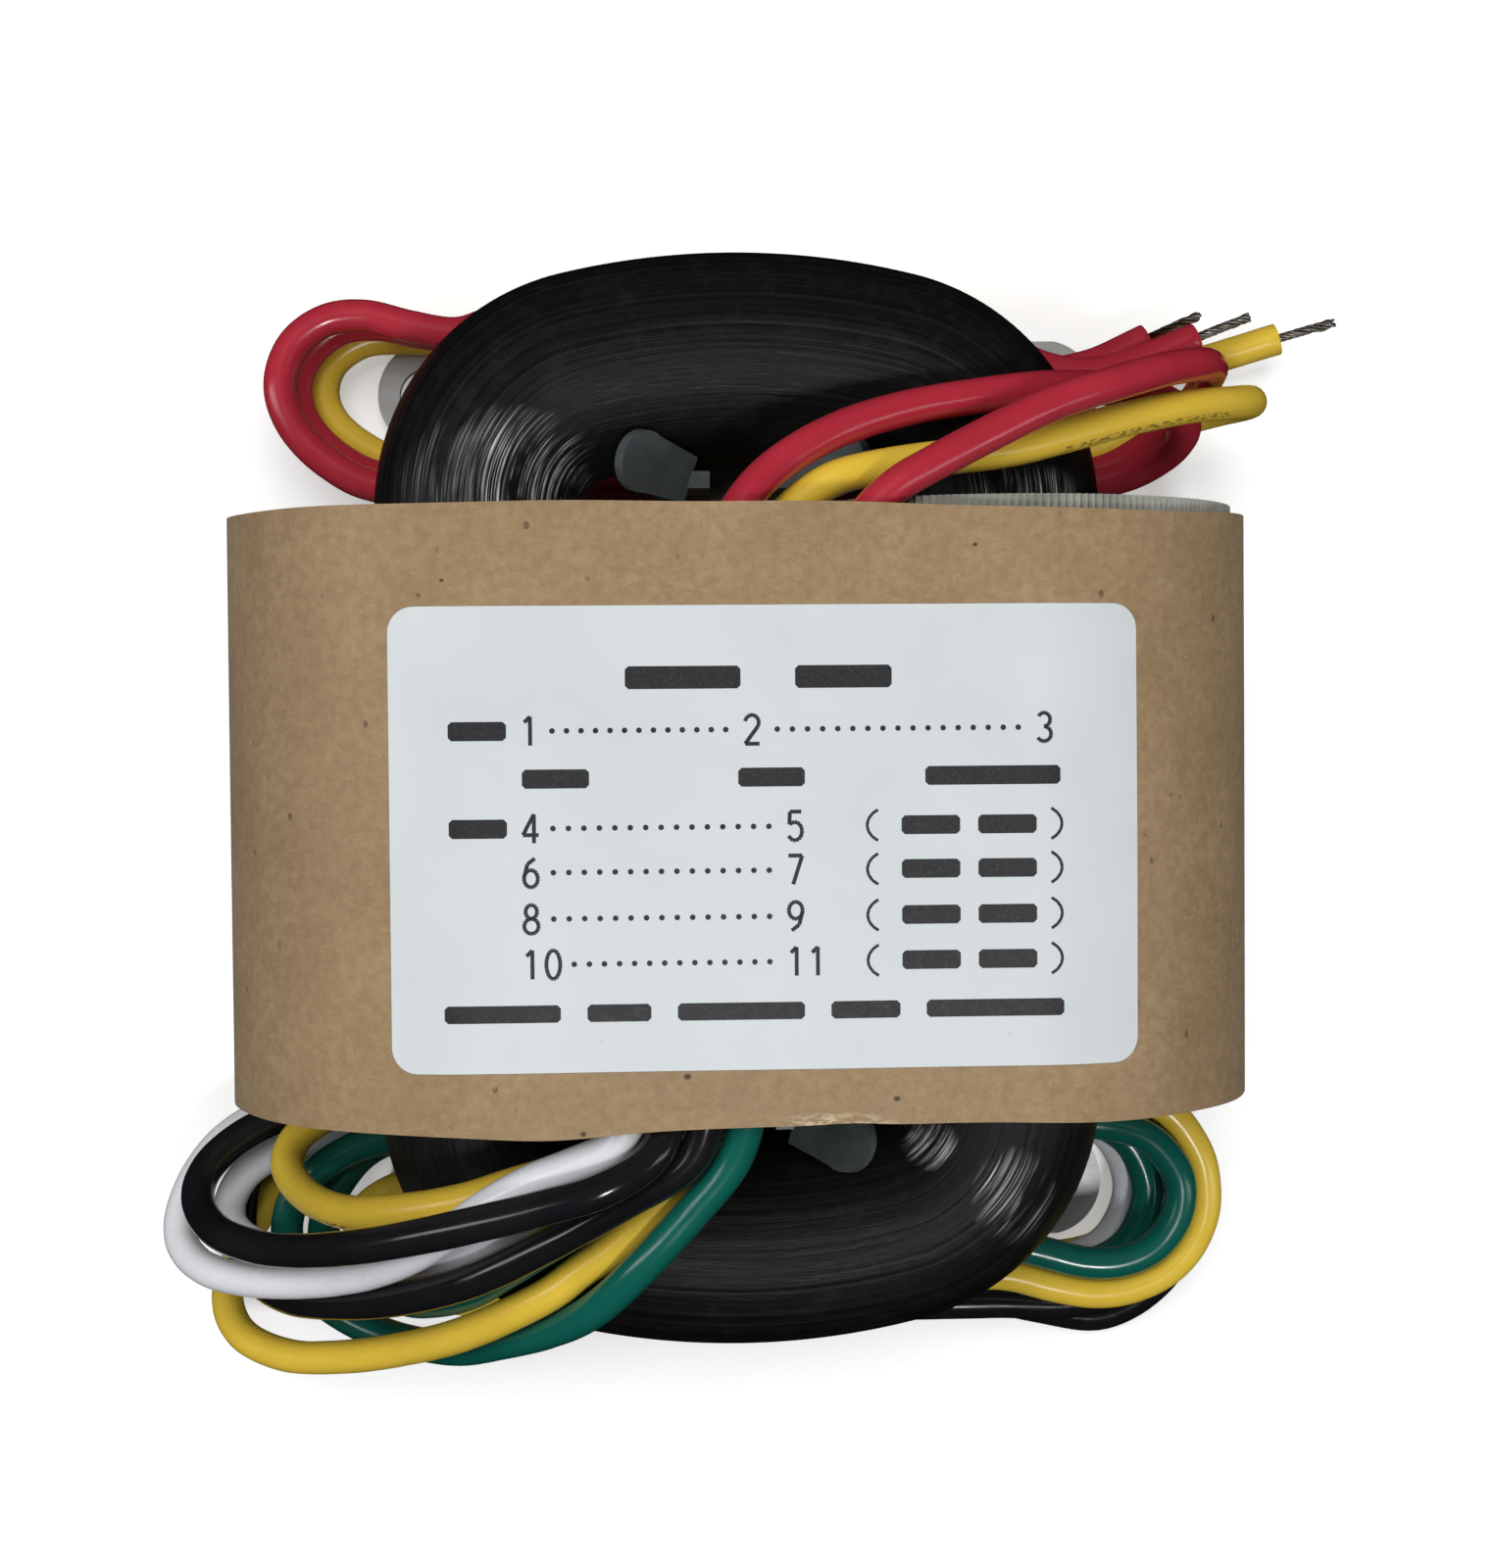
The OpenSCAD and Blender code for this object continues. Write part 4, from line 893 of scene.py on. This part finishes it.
m_copper = Mat("enamelled_copper", Metallic=0.85)
c = m_copper.coords((1, 1, 1))
turns = m_copper.math("SINE", m_copper.math("MULTIPLY", m_copper.split(c)[1], 12.0))
m_copper.base(m_copper.mix(m_copper.remap(turns, -1, 1, 0, 1), (0.20, 0.055, 0.018), m_copper.ramp(m_copper.noise(c, 0.7, 3), [(0.3, (0.50, 0.17, 0.055)), (0.7, (0.62, 0.24, 0.09))])))
m_copper.rough(m_copper.remap(m_copper.noise(c, 1.4, 3), 0.3, 0.7, 0.22, 0.36))
m_copper.bump(turns, 0.7, 0.15)

m_foil = Mat("copper_foil", Metallic=1.0)
c = m_foil.coords()
m_foil.base(m_foil.ramp(m_foil.noise(c, 0.8, 5, 0.65), [(0.3, (0.50, 0.20, 0.09)), (0.6, (0.70, 0.33, 0.17)), (0.85, (0.80, 0.43, 0.25))]))
m_foil.rough(m_foil.remap(m_foil.noise(c, 2, 3), 0.3, 0.7, 0.25, 0.45))
m_foil.bump(m_foil.noise(c, 0.9, 4), 0.2, 0.1)

for n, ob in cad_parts.items():
    if "bracket" in n:
        wear(ob, m_zinc)
        bv = ob.modifiers.new("edge", "BEVEL")
        bv.width = 0.12 * MM
        bv.segments = 2
        bv.limit_method = "ANGLE"
        bv.angle_limit = math.radians(40)
    elif "bobbin" in n:
        wear(ob, m_nylon)
    elif "primary_winding" in n or "secondary" in n and "splice" not in n and "tips" not in n:
        wear(ob, m_copper)
    elif "foil" in n:
        wear(ob, m_foil)
    elif "insulation" in n or "tape" in n or "splice" in n:
        wear(ob, m_tape)

# ---------------------------------------------------------------- floor, light
fs = 4.0
floor = add_mesh("floor", [(-fs * 1000, -fs * 1000, -0.02), (fs * 1000, -fs * 1000, -0.02), (fs * 1000, fs * 1000, -0.02), (-fs * 1000, fs * 1000, -0.02)], [(0, 1, 2, 3)], False)
m_floor = Mat("floor", Roughness=0.9)
m_floor.b.inputs["Specular IOR Level"].default_value = 0.1
m_floor.base(m_floor.ramp(m_floor.noise(m_floor.coords((0.01, 0.01, 0.01)), 1.0, 2), [(0.3, (0.93, 0.93, 0.93)), (0.7, (0.95, 0.95, 0.95))]))
# a little glow lifts the floor to white, fading out under the ends of the core
_xyz = m_floor.split(m_floor.coords())
under = m_floor.math("MAXIMUM", m_floor.spot(_xyz, 0, 25, 30, 14), m_floor.spot(_xyz, 0, -25, 30, 14))
m_floor.b.inputs["Emission Color"].default_value = (1, 1, 1, 1)
away = m_floor.math("SQRT", m_floor.math("ADD", m_floor.math("MULTIPLY", _xyz[0], _xyz[0]), m_floor.math("MULTIPLY", _xyz[1], _xyz[1])))
glow = m_floor.math("ADD", m_floor.remap(under, 0.0, 0.5, 0.30, 0.0), m_floor.remap(away, 160.0, 700.0, 0.0, 0.6))
m_floor.link(glow, m_floor.b.inputs["Emission Strength"])
wear(floor, m_floor)
floor.visible_glossy = False
floor.visible_diffuse = False

world = bpy.data.worlds.new("studio")
scene.world = world
world.use_nodes = True
world.node_tree.nodes["Background"].inputs[0].default_value = (0.95, 0.98, 1.0, 1)
world.node_tree.nodes["Background"].inputs[1].default_value = 0.22
world.cycles_visibility.glossy = False


def area(name, at, to, size, size_y, power, color=(1, 1, 1), glossy=True):
    l = bpy.data.lights.new(name, "AREA")
    l.shape = "RECTANGLE"
    l.size, l.size_y = size, size_y
    l.energy = power
    l.color = color
    o = bpy.data.objects.new(name, l)
    scene.collection.objects.link(o)
    o.location = at
    o.rotation_euler = (Vector(to) - Vector(at)).to_track_quat("-Z", "Y").to_euler()
    o.visible_glossy = glossy


area("key", (-0.10, 0.28, 0.62), (0, 0, 0.02), 0.5, 0.4, 2.75, (1.0, 0.99, 0.97), False)
area("left", (-0.55, 0.02, 0.40), (0, 0, 0.02), 0.12, 0.5, 0.9)
area("right", (0.48, -0.12, 0.42), (0, 0, 0.02), 0.10, 0.4, 0.4)
area("front", (0.05, -0.24, 0.66), (0, 0, 0.02), 0.09, 0.09, 1.3)

scene.view_settings.view_transform = "Standard"
scene.view_settings.look = "None"
scene.view_settings.exposure = 0.0
scene.view_settings.gamma = 1.0

# ---------------------------------------------------------------- update
bpy.context.view_layer.update()
